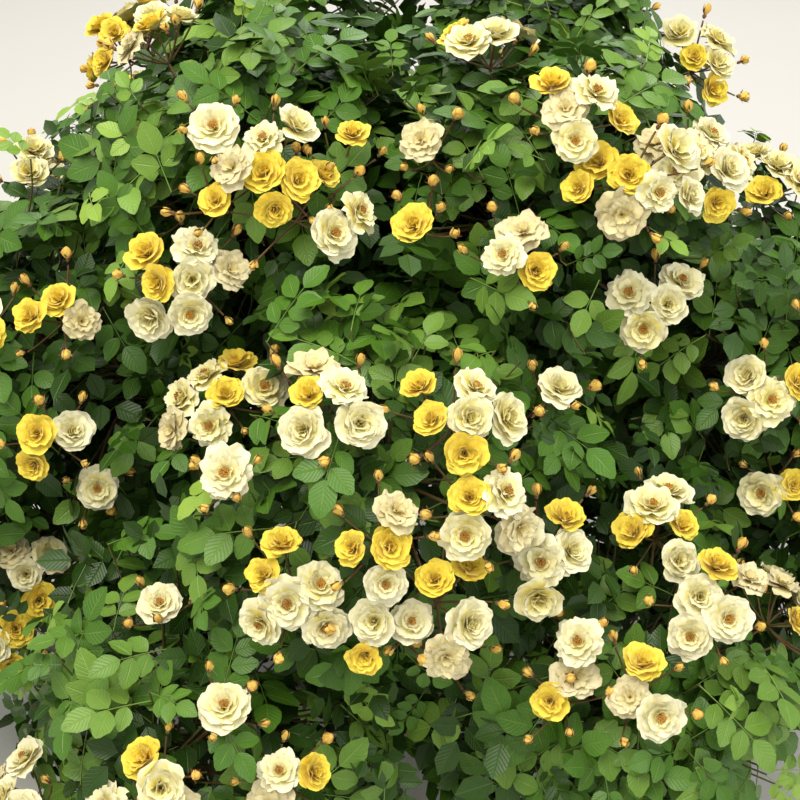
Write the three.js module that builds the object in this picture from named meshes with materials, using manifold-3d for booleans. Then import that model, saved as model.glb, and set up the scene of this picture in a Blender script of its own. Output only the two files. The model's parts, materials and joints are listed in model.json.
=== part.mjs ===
// A bushy garden rose, about a metre tall, in full bloom: a short woody stool, arching canes,
// and at each cane's tip a mass of leafy shoots that carries trusses of semi-double blooms.
// Millimetres and degrees. +Z is up, +X is to the right, and the side that faces -Y is the front.
// The origin is the middle of the flat cut under the stool, at ground level.
import * as THREE from "three";
import { mergeVertices } from "three/addons/utils/BufferGeometryUtils.js";
import Module from "manifold-3d";

const wasm = await Module();
wasm.setup();

// Driving dimensions
const SEED = 11;
const GAP = 0.3; // between solids that meet
const WELD = 1e-3; // corners closer than this are one
const CROWN = { halfWidth: 700, halfDepth: 610, core: new THREE.Vector3(0, 0, 330) };
const STOOL = { head: 40, headHeight: 46, foot: 62, ribs: 5, ribShare: 0.16, sides: 20 };
const CANE = { start: 8, end: 4.6, sides: 5, steps: 7, rise: 0.42, settle: 0.34 };
const SHOOT = { start: 4.6, end: 3, sides: 3, steps: 2, reach: 0.3 };
const LATERAL = { start: 3.2, end: 2, sides: 3 };
const LEAF = { length: 118, width: 70, hump: 0.2, widest: 0.44, thickness: 4, fold: 7 };
const BLOOM = { radius: 31, depth: 19, dish: 10, points: 7, spacing: 58, sunk: 5 };
const CORE = { share: 0.72, lumps: 0.2, wallGap: 5, clear: 1.05 };
const MASS = { entry: 0.88, leafyTips: 13, tipReach: [0.76, 0.88], wallGap: 12, lowest: 70 };
const VALLEY = { room: 1.32, stretch: 1.28, outside: 1.3 }; // of a mass's size, towards a neighbour
const LEAVES_ON = { leafy: 4, flowering: 2, step: 6, splay: [50, 80], outside: 1.12 };

// Rings of masses, from the ground up. out is a share of the crown's half width and half depth,
// turn and step are azimuths, and leave is the angle from upright at which the canes leave the stool.
const RINGS = [
  { name: "front", count: 1, out: 0.78, height: 348, size: 222, turn: -113, step: 0, leave: 70 },
  { name: "low", count: 6, out: 0.7, height: 372, size: 226, turn: -62, step: 51, leave: 68 },
  { name: "middle", count: 5, out: 0.56, height: 602, size: 230, turn: -88, step: 72, leave: 46 },
  { name: "top", count: 4, out: 0.29, height: 788, size: 224, turn: -141, step: 92, leave: 20 },
];
const RING_JITTER = { turn: 4, out: 0.02, height: 15 };

// Where the trusses in front show to an eye before the bush: columns and rows of a view that is
// 800 by 800, then each bloom in the truss: c cream, y yellow, f faded, w withered.
const EYE = { place: new THREE.Vector3(0, -1780, 1550), down: 31, focus: 1705, middle: 400 };
const FRONT_TRUSSES = {
  top_left_spray: [82, 30, "yyy"],
  left_edge_pair: [20, 130, "cc"],
  upper_left_single: [213, 124, "c"],
  upper_left_knot: [270, 158, "ycyfcy"],
  upper_left_pair: [300, 212, "cyc"],
  upper_left_yellow: [214, 198, "y"],
  upper_single: [361, 164, "y"],
  upper_middle: [404, 223, "y"],
  behind_middle: [410, 140, "f"],
  left_crest: [180, 275, "cyccyfc"],
  left_crest_foot: [200, 368, "cycyccf"],
  left_side: [68, 303, "yfy"],
  left_side_low: [48, 438, "ycy"],
  left_low_single: [100, 497, "c"],
  middle_left_single: [225, 473, "c"],
  middle_left: [320, 397, "yccfc"],
  middle: [458, 412, "cycyyc"],
  middle_low: [482, 502, "yccf"],
  middle_right_single: [563, 383, "c"],
  above_middle_right: [510, 268, "cyf"],
  right_crest_left: [578, 108, "fccyy"],
  right_crest_middle: [640, 165, "ycycfcy"],
  right_crest_right: [705, 160, "ccccyfc"],
  right_crest_end: [770, 170, "cycc"],
  far_right: [722, 50, "cycyc"],
  right_side: [692, 328, "cccc"],
  right_side_low: [768, 388, "ccyc"],
  right_edge: [782, 488, "yc"],
  low_right_of_middle: [562, 548, "ccycc"],
  low_right: [660, 517, "cyycc"],
  low_right_end: [712, 588, "cycfc"],
  low_middle: [378, 540, "yyfc"],
  low_middle_foot: [385, 628, "ccy"],
  low_middle_right: [442, 605, "ycyf"],
  low_left: [285, 590, "cyccyc"],
  low_left_hidden: [172, 582, "c"],
  low_left_edge: [45, 580, "ccyf"],
  front_low: [225, 703, "c"],
  front_foot: [160, 774, "cy"],
  front_foot_right: [290, 778, "cyf"],
  foot_right_single: [577, 642, "c"],
  foot_right_pair: [562, 697, "yf"],
  foot_right_knot: [640, 688, "fyc"],
  foot_middle: [467, 672, "w"],
};
const TRUSS_DEPTH = 0.97; // of a mass's size
const REST_TRUSSES = { tries: 9, kinds: ["cycy", "yccf", "ccyfc", "cy", "cyfcyc"], turnedAway: 0.12 };

// Small helpers
const GOLDEN_TURN = Math.PI * (3 - Math.sqrt(5));
const UP = new THREE.Vector3(0, 0, 1);
const radians = THREE.MathUtils.degToRad;

// A stream of even numbers from 0 to 1, the same on each run.
function stream(seed) {
  let state = (seed * 2654435761) >>> 0;
  return () => {
    state = (Math.imul(state, 1664525) + 1013904223) >>> 0;
    return state / 4294967296;
  };
}

const between = (next, low, high) => low + (high - low) * next();
const blend = (...pairs) =>
  pairs.reduce((sum, [v, share]) => sum.addScaledVector(v, share), new THREE.Vector3()).normalize();

// The k-th of n directions spread evenly over a sphere.
function spreadDirection(k, n) {
  const z = 1 - (2 * k + 1) / n;
  const r = Math.sqrt(1 - z * z);
  return new THREE.Vector3(r * Math.cos(k * GOLDEN_TURN), r * Math.sin(k * GOLDEN_TURN), z);
}

// Solids. Where a lathe meets its axis, its triangles that have no area are left out.
function solidOf(geometry) {
  const bare = new THREE.BufferGeometry().setAttribute("position", geometry.getAttribute("position"));
  const merged = mergeVertices(bare.setIndex(geometry.index), WELD);
  const corners = merged.index.array;
  const kept = [];
  for (let i = 0; i < corners.length; i += 3) {
    const triangle = [corners[i], corners[i + 1], corners[i + 2]];
    if (new Set(triangle).size === 3) kept.push(...triangle);
  }
  return new wasm.Manifold(
    new wasm.Mesh({
      numProp: 3,
      vertProperties: new Float32Array(merged.getAttribute("position").array),
      triVerts: new Uint32Array(kept),
    }),
  );
}

function geometryOf(solid) {
  const mesh = solid.getMesh();
  const geometry = new THREE.BufferGeometry();
  geometry.setAttribute("position", new THREE.BufferAttribute(new Float32Array(mesh.vertProperties), 3));
  geometry.setIndex(new THREE.BufferAttribute(new Uint32Array(mesh.triVerts), 1));
  geometry.computeVertexNormals();
  return geometry;
}

const largestOf = (solid) => solid.decompose().reduce((a, b) => (b.volume() > a.volume() ? b : a));

// True if the solid is one body, and is still closed once its corners are welded and rounded off.
function closesUp(solid) {
  let welded;
  try {
    welded = solidOf(geometryOf(solid));
  } catch {
    return false;
  }
  const { vertProperties, triVerts } = welded.getMesh();
  const places = new Map();
  const place = (corner) => {
    const values = Array.from(vertProperties.slice(3 * corner, 3 * corner + 3));
    const key = values.map((value) => Math.round((10 * value) / WELD)).join();
    if (!places.has(key)) places.set(key, places.size);
    return places.get(key);
  };
  const uses = new Map();
  for (let i = 0; i < triVerts.length; i += 3) {
    const [a, b, c] = Array.from(triVerts.slice(i, i + 3)).map(place);
    if (a === b || b === c || c === a) continue;
    for (const [from, to] of [[a, b], [b, c], [c, a]]) {
      const key = `${Math.min(from, to)},${Math.max(from, to)}`;
      uses.set(key, (uses.get(key) ?? 0) + 1);
    }
  }
  return welded.decompose().length === 1 && [...uses.values()].every((count) => count === 2);
}

// Joins solids one after another, and leaves out one that hangs loose or would not close up.
function joined(solids) {
  return solids.reduce((whole, solid) => {
    const more = whole.add(solid);
    return closesUp(more) ? more : whole;
  });
}

// Moves each vertex of a geometry to where place puts it.
function moved(geometry, place) {
  const position = geometry.getAttribute("position");
  const at = new THREE.Vector3();
  for (let i = 0; i < position.count; i++) {
    at.fromBufferAttribute(position, i);
    const to = place(at);
    position.setXYZ(i, to.x, to.y, to.z);
  }
  return geometry;
}

// A closed limb that tapers along a curve, extruded from a shape with this many sides.
function limbGeometry(curve, startRadius, endRadius, sides, steps) {
  const corners = Array.from({ length: sides }, (_, k) => {
    const angle = (2 * Math.PI * k) / sides;
    return new THREE.Vector2(Math.cos(angle), Math.sin(angle));
  });
  const chord = curve.getPoint(1).sub(curve.getPoint(0)).normalize();
  const level = new THREE.Vector3().crossVectors(chord, UP);
  const side = level.length() > 0.2 ? level.normalize() : new THREE.Vector3(0, 1, 0);
  const plain = new THREE.ExtrudeGeometry(new THREE.Shape(corners), { depth: 1, steps, bevelEnabled: false });
  return moved(plain, (at) => {
    const along = curve.getTangent(at.z);
    const third = new THREE.Vector3().crossVectors(side, along).normalize();
    const first = new THREE.Vector3().crossVectors(third, along).negate();
    const radius = startRadius + (endRadius - startRadius) * at.z;
    return curve
      .getPoint(at.z)
      .addScaledVector(first, at.x * radius)
      .addScaledVector(third, -at.y * radius);
  });
}

// The six corners of a leaf: it is thickest near its root, and folded up a little at its sides.
function leafCorners(root, along, normal, size) {
  const across = new THREE.Vector3().crossVectors(normal, along);
  const length = LEAF.length * size;
  const at = (share, wide, high) =>
    root
      .clone()
      .addScaledVector(along, share * length)
      .addScaledVector(across, (wide * LEAF.width * size) / 2)
      .addScaledVector(normal, high);
  return {
    root,
    tip: at(1, 0, 0),
    left: at(LEAF.widest, 1, LEAF.fold),
    right: at(LEAF.widest, -1, LEAF.fold),
    upper: at(LEAF.hump, 0, LEAF.thickness / 2),
    lower: at(LEAF.hump, 0, -LEAF.thickness / 2),
  };
}

function leafGeometry({ root, tip, left, right, upper, lower }) {
  return moved(new THREE.OctahedronGeometry(1), (at) => {
    if (Math.abs(at.x) > 0.5) return at.x > 0 ? tip : root;
    if (Math.abs(at.y) > 0.5) return at.y > 0 ? left : right;
    return at.z > 0 ? upper : lower;
  });
}

// A dished bloom. Its underside comes to a point, which is sunk in what carries it.
function bloomGeometry(middle, facing, turn) {
  const reference = Math.abs(facing.z) > 0.9 ? new THREE.Vector3(1, 0, 0) : UP;
  const side = new THREE.Vector3().crossVectors(facing, reference).normalize();
  const third = new THREE.Vector3().crossVectors(side, facing);
  const profile = [
    new THREE.Vector2(0, -BLOOM.depth),
    new THREE.Vector2(BLOOM.radius, 0),
    new THREE.Vector2(0, -BLOOM.dish),
  ];
  return moved(new THREE.LatheGeometry(profile, BLOOM.points), (at) => {
    const turned = at.clone().applyAxisAngle(new THREE.Vector3(0, 1, 0), turn);
    return middle
      .clone()
      .addScaledVector(side, turned.x)
      .addScaledVector(facing, turned.y)
      .addScaledVector(third, turned.z);
  });
}

// The masses' places: a ball for each, and the planes that keep neighbours apart
function makeMasses() {
  const next = stream(SEED);
  const masses = RINGS.flatMap((ring) =>
    Array.from({ length: ring.count }, (_, i) => {
      const turn = radians(ring.turn + i * ring.step + between(next, -1, 1) * RING_JITTER.turn);
      const out = ring.out + between(next, -1, 1) * RING_JITTER.out;
      const height = ring.height + between(next, -1, 1) * RING_JITTER.height;
      const centre = new THREE.Vector3(
        Math.cos(turn) * out * CROWN.halfWidth,
        Math.sin(turn) * out * CROWN.halfDepth,
        height,
      );
      const outward = centre.clone().sub(CROWN.core).normalize();
      return { ring, number: i + 1, turn, centre, size: ring.size, outward };
    }),
  );
  for (const mass of masses) {
    mass.walls = masses
      .filter((other) => other !== mass)
      .map((other) => {
        const normal = other.centre.clone().sub(mass.centre);
        const distance = normal.length();
        normal.divideScalar(distance);
        const away = (distance ** 2 + mass.size ** 2 - other.size ** 2) / (2 * distance);
        return { normal, limit: mass.centre.dot(normal) + away - GAP };
      });
  }
  return masses;
}

const inCell = (mass, point, margin = 0) =>
  mass.walls.every((wall) => wall.normal.dot(point) < wall.limit - margin);

// How far a mass's space goes from its middle in a direction, before it meets a wall.
const roomAlong = (mass, direction) =>
  mass.walls.reduce((least, wall) => {
    const approach = wall.normal.dot(direction);
    const room = wall.limit - wall.normal.dot(mass.centre);
    return approach > 0 ? Math.min(least, room / approach) : least;
  }, Infinity);


// True where a mass meets a neighbour before it thins out, so that its leaves fill the valley there.
const inValley = (mass, direction) => roomAlong(mass, direction) < mass.size * VALLEY.room;

function inSpace(mass, point) {
  const fromCentre = point.clone().sub(mass.centre);
  const distance = fromCentre.length();
  const outside = inValley(mass, fromCentre.normalize()) ? VALLEY.outside : LEAVES_ON.outside;
  return point.z > MASS.lowest && distance < mass.size * outside && inCell(mass, point);
}

// Canes
function makeCane(mass) {
  const { ring, turn, centre, size } = mass;
  const leave = radians(ring.leave);
  const level = new THREE.Vector3(Math.cos(turn), Math.sin(turn), 0);
  const start = blend([level, Math.sin(leave)], [UP, Math.cos(leave)]);
  const foot = new THREE.Vector3(0, 0, STOOL.headHeight).addScaledVector(start, STOOL.head + GAP);
  const finish = blend([level, Math.sin(leave)], [UP, 1 - 0.55 * Math.sin(leave)]);
  const end = centre.clone().addScaledVector(finish, -MASS.entry * size);
  const span = end.distanceTo(foot);
  const curve = new THREE.CubicBezierCurve3(
    foot,
    foot.clone().addScaledVector(start, CANE.rise * span),
    end.clone().addScaledVector(finish, -CANE.settle * span),
    end,
  );
  const rings = Array.from({ length: CANE.steps + 1 }, (_, i) => curve.getPoint(i / CANE.steps));
  return { curve, end, finish, rings };
}

// The distance from a point to a line of points.
function distanceToRings(point, rings) {
  const line = new THREE.Line3();
  const nearest = new THREE.Vector3();
  let best = Infinity;
  for (let i = 1; i < rings.length; i++) {
    line.set(rings[i - 1], rings[i]).closestPointToPoint(point, true, nearest);
    best = Math.min(best, nearest.distanceTo(point));
  }
  return best;
}

// True if the stretch from a to b, of this half width, touches no cane.
function clearOfCanes(a, b, halfWidth, canes) {
  const steps = Math.ceil(a.distanceTo(b) / 10);
  for (let i = 0; i <= steps; i++) {
    const point = a.clone().lerp(b, i / steps);
    if (canes.some((cane) => distanceToRings(point, cane.rings) < CANE.start + halfWidth)) return false;
  }
  return true;
}

// Trusses: each has a place on its mass's ball and the kinds of its blooms
function frontTruss([column, row, kinds], masses) {
  const down = radians(EYE.down);
  const forward = new THREE.Vector3(0, Math.cos(down), -Math.sin(down));
  const upward = new THREE.Vector3(0, Math.sin(down), Math.cos(down));
  const ray = forward
    .multiplyScalar(EYE.focus)
    .addScaledVector(upward, EYE.middle - row)
    .add(new THREE.Vector3(column - EYE.middle, 0, 0))
    .normalize();
  let best = null;
  for (const mass of masses) {
    const toCentre = mass.centre.clone().sub(EYE.place);
    const along = toCentre.dot(ray);
    const radius = mass.size * TRUSS_DEPTH;
    const offset = toCentre.lengthSq() - along ** 2;
    // A ray that just misses every ball is given to the ball that it passes nearest.
    const reach = offset < radius ** 2 ? along - Math.sqrt(radius ** 2 - offset) : along;
    const miss = Math.max(0, Math.sqrt(offset) - radius);
    if (!best || miss < best.miss || (miss === best.miss && reach < best.reach)) best = { mass, miss, reach };
  }
  const place = EYE.place.clone().addScaledVector(ray, best.reach);
  const normal = place.clone().sub(best.mass.centre).normalize();
  place.copy(best.mass.centre).addScaledVector(normal, best.mass.size * TRUSS_DEPTH);
  for (const wall of best.mass.walls)
    place.addScaledVector(wall.normal, Math.min(0, wall.limit - BLOOM.radius * 1.1 - wall.normal.dot(place)));
  return { mass: best.mass, place, normal, kinds };
}

// True if a place on the crown can be seen by the eye in front.
function inFrontView(place, normal) {
  const toPlace = place.clone().sub(EYE.place);
  const down = radians(EYE.down);
  const depth = toPlace.y * Math.cos(down) - toPlace.z * Math.sin(down);
  const column = (toPlace.x / depth) * EYE.focus;
  const row = ((toPlace.y * Math.sin(down) + toPlace.z * Math.cos(down)) / depth) * EYE.focus;
  const facing = -normal.dot(toPlace.normalize());
  return facing > REST_TRUSSES.turnedAway && Math.abs(column) < EYE.middle && Math.abs(row) < EYE.middle;
}

function makeTrusses(masses) {
  const trusses = Object.values(FRONT_TRUSSES).map((row) => frontTruss(row, masses));
  const next = stream(SEED + 1);
  masses.forEach((mass) => {
    for (let k = 0; k < REST_TRUSSES.tries; k++) {
      const normal = blend([spreadDirection(k, REST_TRUSSES.tries), 1], [mass.outward, 0.75]);
      const place = mass.centre.clone().addScaledVector(normal, mass.size * TRUSS_DEPTH);
      const kinds = REST_TRUSSES.kinds[Math.floor(next() * REST_TRUSSES.kinds.length)];
      const hidden = normal.z < -0.25 || !inCell(mass, place, BLOOM.radius * 1.1);
      if (!hidden && !inFrontView(place, normal)) trusses.push({ mass, place, normal, kinds });
    }
  });
  return trusses;
}

// A lateral leaves the shoot lower than its tip, as a side shoot does.
function lateralCurve(shootCurve, tip) {
  const foot = shootCurve.getPoint(0);
  const axis = shootCurve.getPoint(1).sub(foot);
  const length = axis.length();
  axis.divideScalar(length);
  const toTip = tip.clone().sub(foot);
  const ahead = toTip.dot(axis);
  const beside = Math.sqrt(Math.max(0, toTip.lengthSq() - ahead ** 2));
  const share = THREE.MathUtils.clamp((ahead - 0.6 * beside) / length, 0.12, 0.94);
  const start = shootCurve.getPoint(share);
  return new THREE.LineCurve3(start, tip);
}

// What a leaf may not cross: triangles on either side of a leaf's midrib, and stretches of twig.
const leafSides = ({ root, tip, left, right }) => [
  [root, left, tip],
  [root, tip, right],
];

function stretchCrosses([from, to], triangles) {
  const reach = from.distanceTo(to);
  const ray = new THREE.Ray(from, to.clone().sub(from).divideScalar(reach));
  const hit = new THREE.Vector3();
  return triangles.some(
    (three) => ray.intersectTriangle(...three, false, hit) && hit.distanceTo(from) < reach,
  );
}

const leafEdges = ({ root, tip, left, right }) => [
  [left, root],
  [left, tip],
  [right, root],
  [right, tip],
  [tip, root],
];

function leavesCross(one, other) {
  if (one.left.distanceTo(other.left) > 2.4 * LEAF.length) return false;
  return (
    leafEdges(one).some((edge) => stretchCrosses(edge, leafSides(other))) ||
    leafEdges(other).some((edge) => stretchCrosses(edge, leafSides(one)))
  );
}

// Leaves round the end of a lateral, turned by the golden angle, with their faces to the light.
function addLeaves(mass, curve, count, grown, canes, next) {
  const length = curve.v1.distanceTo(curve.v2);
  const firstTurn = next() * 2 * Math.PI;
  for (let k = 0; k < count; k++) {
    const root = curve.getPoint(1 - (1.5 + LEAVES_ON.step * k) / length);
    const outward = root.clone().sub(mass.centre).normalize();
    const side = new THREE.Vector3().crossVectors(outward, UP).normalize();
    const third = new THREE.Vector3().crossVectors(side, outward);
    const light = blend([outward, 0.9], [mass.outward, 0.2], [UP, 0.3]);
    const turn = firstTurn + k * GOLDEN_TURN;
    const splay = radians(between(next, ...LEAVES_ON.splay));
    const across = Math.sin(splay);
    const pointing = blend(
      [outward, Math.cos(splay)],
      [side, across * Math.cos(turn)],
      [third, across * Math.sin(turn)],
    );
    const normal = light.clone().addScaledVector(pointing, -light.dot(pointing)).normalize();
    const size = between(next, 0.85, 1.15);
    const leaf = leafCorners(root, pointing, normal, size);
    const rim = [leaf.tip, leaf.left, leaf.right];
    const middle = root.clone().lerp(leaf.tip, 0.5);
    if (!rim.every((corner) => inSpace(mass, corner))) continue;
    if (middle.distanceTo(mass.centre) < mass.size * CORE.share * CORE.clear) continue;
    if (grown.leaves.some((other) => leavesCross(leaf, other))) continue;
    if (grown.twigs.some((twig) => twig[1] !== curve.v2 && stretchCrosses(twig, leafSides(leaf)))) continue;
    if (grown.blooms.some((bloom) => bloom.distanceTo(middle) < BLOOM.radius + LEAF.length * 0.25)) continue;
    if (!clearOfCanes(root, leaf.tip, (LEAF.width * size) / 2, canes)) continue;
    grown.leaves.push(leaf);
  }
}

// The blooms of one truss: the first at its middle, the other beside it.
function bloomsOf(truss, facing, next) {
  const side = new THREE.Vector3().crossVectors(facing, UP).normalize();
  const third = new THREE.Vector3().crossVectors(side, facing);
  const count = truss.kinds.length < 4 ? 1 : 2;
  const blooms = [truss.place];
  const firstTurn = next() * 2 * Math.PI;
  for (let k = 0; blooms.length < count && k < 8; k++) {
    const turn = firstTurn + k * GOLDEN_TURN;
    const middle = truss.place
      .clone()
      .addScaledVector(side, BLOOM.spacing * Math.cos(turn))
      .addScaledVector(third, BLOOM.spacing * Math.sin(turn));
    if (inCell(truss.mass, middle, BLOOM.radius)) blooms.push(middle);
  }
  return blooms;
}

// A lumpy core that the leaves stand out of. It keeps within the walls of its mass's space.
function coreGeometry(mass, next) {
  const phase = between(next, 0, 6);
  return moved(new THREE.IcosahedronGeometry(1, 1), (at) => {
    const direction = at.clone().normalize();
    const lump = Math.sin(5 * at.x + phase) * Math.sin(6 * at.y - phase) * Math.cos(5 * at.z + phase);
    const whole = mass.size * CORE.share * (1 + CORE.lumps * lump);
    const reach = Math.min(whole, roomAlong(mass, direction) - CORE.wallGap);
    return direction.multiplyScalar(reach).add(mass.centre);
  });
}

// One mass of foliage: a shoot that goes on from the cane, a core, and laterals with leaves and blooms.
function makeFoliage(mass, cane, canes, trusses) {
  const next = stream(SEED * 7 + Math.round(mass.centre.x + mass.centre.y * 3));
  const shootCurve = new THREE.QuadraticBezierCurve3(
    cane.end.clone().addScaledVector(cane.finish, GAP),
    mass.centre,
    mass.centre.clone().addScaledVector(mass.outward, SHOOT.reach * mass.size),
  );
  const pieces = [
    limbGeometry(shootCurve, SHOOT.start, SHOOT.end, SHOOT.sides, SHOOT.steps),
    coreGeometry(mass, next),
  ];
  const others = canes.filter((other) => other !== cane);
  const grown = { twigs: [], leaves: [], blooms: [] };
  const leafy = [];
  const addLateral = (tip, leafCount) => {
    const curve = lateralCurve(shootCurve, tip);
    if (!clearOfCanes(curve.getPoint(0.5), tip, LATERAL.start, others)) return false;
    grown.twigs.push([curve.v1, tip]);
    leafy.push([curve, leafCount]);
    pieces.push(limbGeometry(curve, LATERAL.start, LATERAL.end, LATERAL.sides, 1));
    return true;
  };
  for (const truss of trusses.filter((one) => one.mass === mass)) {
    const facing = blend([truss.normal, 0.8], [UP, 0.35]);
    const tip = truss.place.clone().addScaledVector(facing, BLOOM.sunk - BLOOM.depth);
    if (!addLateral(tip, LEAVES_ON.flowering)) continue;
    for (const middle of bloomsOf(truss, facing, next)) {
      grown.blooms.push(middle);
      pieces.push(bloomGeometry(middle, facing, next()));
    }
  }
  for (let k = 0; k < MASS.leafyTips; k++) {
    const direction = blend([spreadDirection(k, MASS.leafyTips), 1], [mass.outward, 0.7]);
    const whole = between(next, ...MASS.tipReach) * mass.size;
    const wish = inValley(mass, direction) ? whole * VALLEY.stretch : whole;
    const reach = Math.min(wish, roomAlong(mass, direction) - MASS.wallGap);
    const tip = mass.centre.clone().addScaledVector(direction, reach);
    if (reach > CORE.share * mass.size) addLateral(tip, LEAVES_ON.leafy);
  }
  for (const [curve, leafCount] of leafy.reverse()) addLeaves(mass, curve, leafCount, grown, canes, next);
  pieces.push(...grown.leaves.map(leafGeometry));
  const guards = others.map((other) =>
    solidOf(limbGeometry(other.curve, CANE.start + GAP, CANE.end + GAP, CANE.sides, CANE.steps)),
  );
  const solids = pieces.map((piece) =>
    guards.reduce((solid, guard) => {
      const clear = solid.intersect(guard).volume() === 0;
      return clear ? solid : largestOf(solid.subtract(guard));
    }, solidOf(piece)),
  );
  return geometryOf(joined(solids));
}

// The stool: a knotty head on ribs that spread to the flat cut at the ground.
function stoolGeometry() {
  const arc = Array.from({ length: 7 }, (_, i) => {
    const rise = (i * Math.PI) / 12;
    return new THREE.Vector2(STOOL.head * Math.cos(rise), STOOL.headHeight + STOOL.head * Math.sin(rise));
  });
  arc[arc.length - 1].x = 0;
  const profile = [
    new THREE.Vector2(0, 0),
    new THREE.Vector2(STOOL.foot, 0),
    new THREE.Vector2(STOOL.foot * 0.82, STOOL.headHeight * 0.2),
    new THREE.Vector2(STOOL.foot * 0.7, STOOL.headHeight * 0.5),
    ...arc,
  ];
  return moved(new THREE.LatheGeometry(profile, STOOL.sides), (at) => {
    const angle = Math.atan2(at.z, at.x);
    const low = Math.max(0, 1 - at.y / STOOL.headHeight);
    const rib = 1 + STOOL.ribShare * low * Math.cos(STOOL.ribs * angle);
    return new THREE.Vector3(at.x * rib, -at.z * rib, at.y);
  });
}

// Colours and finishes
const bark = new THREE.MeshStandardMaterial({ color: 0x6b4a35, roughness: 0.85, metalness: 0 });
const greenBark = new THREE.MeshStandardMaterial({ color: 0x6d5a33, roughness: 0.7, metalness: 0 });
const foliage = new THREE.MeshStandardMaterial({ color: 0x3f6b2c, roughness: 0.6, metalness: 0 });

// The bush
function named(name, geometry, material) {
  const mesh = new THREE.Mesh(geometry, material);
  mesh.name = name;
  return mesh;
}

const bush = new THREE.Group();
const masses = makeMasses();
const canes = masses.map(makeCane);
const trusses = makeTrusses(masses);
bush.add(named("stool", geometryOf(solidOf(stoolGeometry())), bark));
masses.forEach((mass, i) => {
  const place = `${mass.ring.name}_${mass.number}`;
  const cane = canes[i];
  const caneGeometry = limbGeometry(cane.curve, CANE.start, CANE.end, CANE.sides, CANE.steps);
  bush.add(named(`cane_${place}`, caneGeometry, greenBark));
  bush.add(named(`foliage_${place}`, makeFoliage(mass, cane, canes, trusses), foliage));
});

export default bush;
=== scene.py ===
"""The looks of a bushy garden rose, about a metre tall, in full bloom.

Metres in Blender, millimetres in the growing rules. +Z is up, and the side that faces -Y is the front.
The stool and the canes get bark with relief. Each mass of foliage is grown again from its cane's tip
by the same rule as its solid, carried on to finer twigs, compound leaves, semi-double blooms and buds.
"""

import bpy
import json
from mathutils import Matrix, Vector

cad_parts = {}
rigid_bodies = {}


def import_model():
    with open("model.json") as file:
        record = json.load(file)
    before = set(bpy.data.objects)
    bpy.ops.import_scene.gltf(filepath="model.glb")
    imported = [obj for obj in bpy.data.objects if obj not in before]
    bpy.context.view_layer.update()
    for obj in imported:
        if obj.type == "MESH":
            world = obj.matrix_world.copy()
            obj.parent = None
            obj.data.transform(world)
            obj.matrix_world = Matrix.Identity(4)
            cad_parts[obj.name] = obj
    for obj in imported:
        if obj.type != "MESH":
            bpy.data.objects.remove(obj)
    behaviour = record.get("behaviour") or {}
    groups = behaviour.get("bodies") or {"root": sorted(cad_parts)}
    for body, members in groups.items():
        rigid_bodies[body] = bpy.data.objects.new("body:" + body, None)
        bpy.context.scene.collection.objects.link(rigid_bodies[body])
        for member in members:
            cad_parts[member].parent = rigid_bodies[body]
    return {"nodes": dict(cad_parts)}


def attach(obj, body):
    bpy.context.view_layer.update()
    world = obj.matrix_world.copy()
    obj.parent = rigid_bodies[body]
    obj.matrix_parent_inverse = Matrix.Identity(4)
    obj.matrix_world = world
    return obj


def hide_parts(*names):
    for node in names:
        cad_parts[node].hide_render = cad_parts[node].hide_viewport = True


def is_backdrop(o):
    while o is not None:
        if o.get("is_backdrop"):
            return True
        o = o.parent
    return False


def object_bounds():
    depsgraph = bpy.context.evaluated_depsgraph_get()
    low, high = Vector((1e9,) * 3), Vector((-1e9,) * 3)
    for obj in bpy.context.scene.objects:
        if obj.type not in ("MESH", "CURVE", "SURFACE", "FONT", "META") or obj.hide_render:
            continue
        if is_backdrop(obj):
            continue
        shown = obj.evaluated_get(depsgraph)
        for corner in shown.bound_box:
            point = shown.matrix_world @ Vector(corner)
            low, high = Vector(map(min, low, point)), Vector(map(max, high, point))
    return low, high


bl_info = {
    "name": "Shrub Rose",
    "version": (1, 0, 0),
    "blender": (4, 5, 0),
    "location": "View3D > Sidebar > Rose",
    "description": "Grows a cream and yellow shrub rose round its solids",
    "category": "Add Mesh",
}

import json
import math
from functools import partial
from types import SimpleNamespace as Named

import bpy
import numpy as np
from mathutils import Matrix, Vector

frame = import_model()
SOLIDS_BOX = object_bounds()
MM = 0.001


def xyz(*values):
    return np.array(values, float)


# Driving dimensions of the growing rule, in millimetres and degrees, the same as in the solids
SEED = 11
GAP = 0.3
CROWN = Named(half_width=700, half_depth=610, core=xyz(0, 0, 330))
STOOL = Named(head=40, head_height=46, foot=62, ribs=5, rib_share=0.16)
CANE = Named(start=8, end=4.6, rise=0.42, settle=0.34, droop=0.55)
SHOOT = Named(start=4.6, end=3, reach=0.3)
MASS = Named(entry=0.88, wall_gap=12, lowest=70, outside=1.12)
VALLEY = Named(room=1.32, stretch=1.28, outside=1.3)  # of a size, towards a neighbour
BLOOM_ROOM = 34  # kept clear of a mass's walls, round the middle of a truss
TRUSS_DEPTH = 0.97  # of a mass's size

# name, masses, out (a share of the crown's half width and half depth), height, size, azimuth of the
# first, azimuth from one to the next, and the angle from upright at which the canes leave the stool
RINGS = [
    ("front", 1, 0.78, 348, 222, -113, 0, 70),
    ("low", 6, 0.7, 372, 226, -62, 51, 68),
    ("middle", 5, 0.56, 602, 230, -88, 72, 46),
    ("top", 4, 0.29, 788, 224, -141, 92, 20),
]
RING_JITTER = Named(turn=4, out=0.02, height=15)

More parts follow.
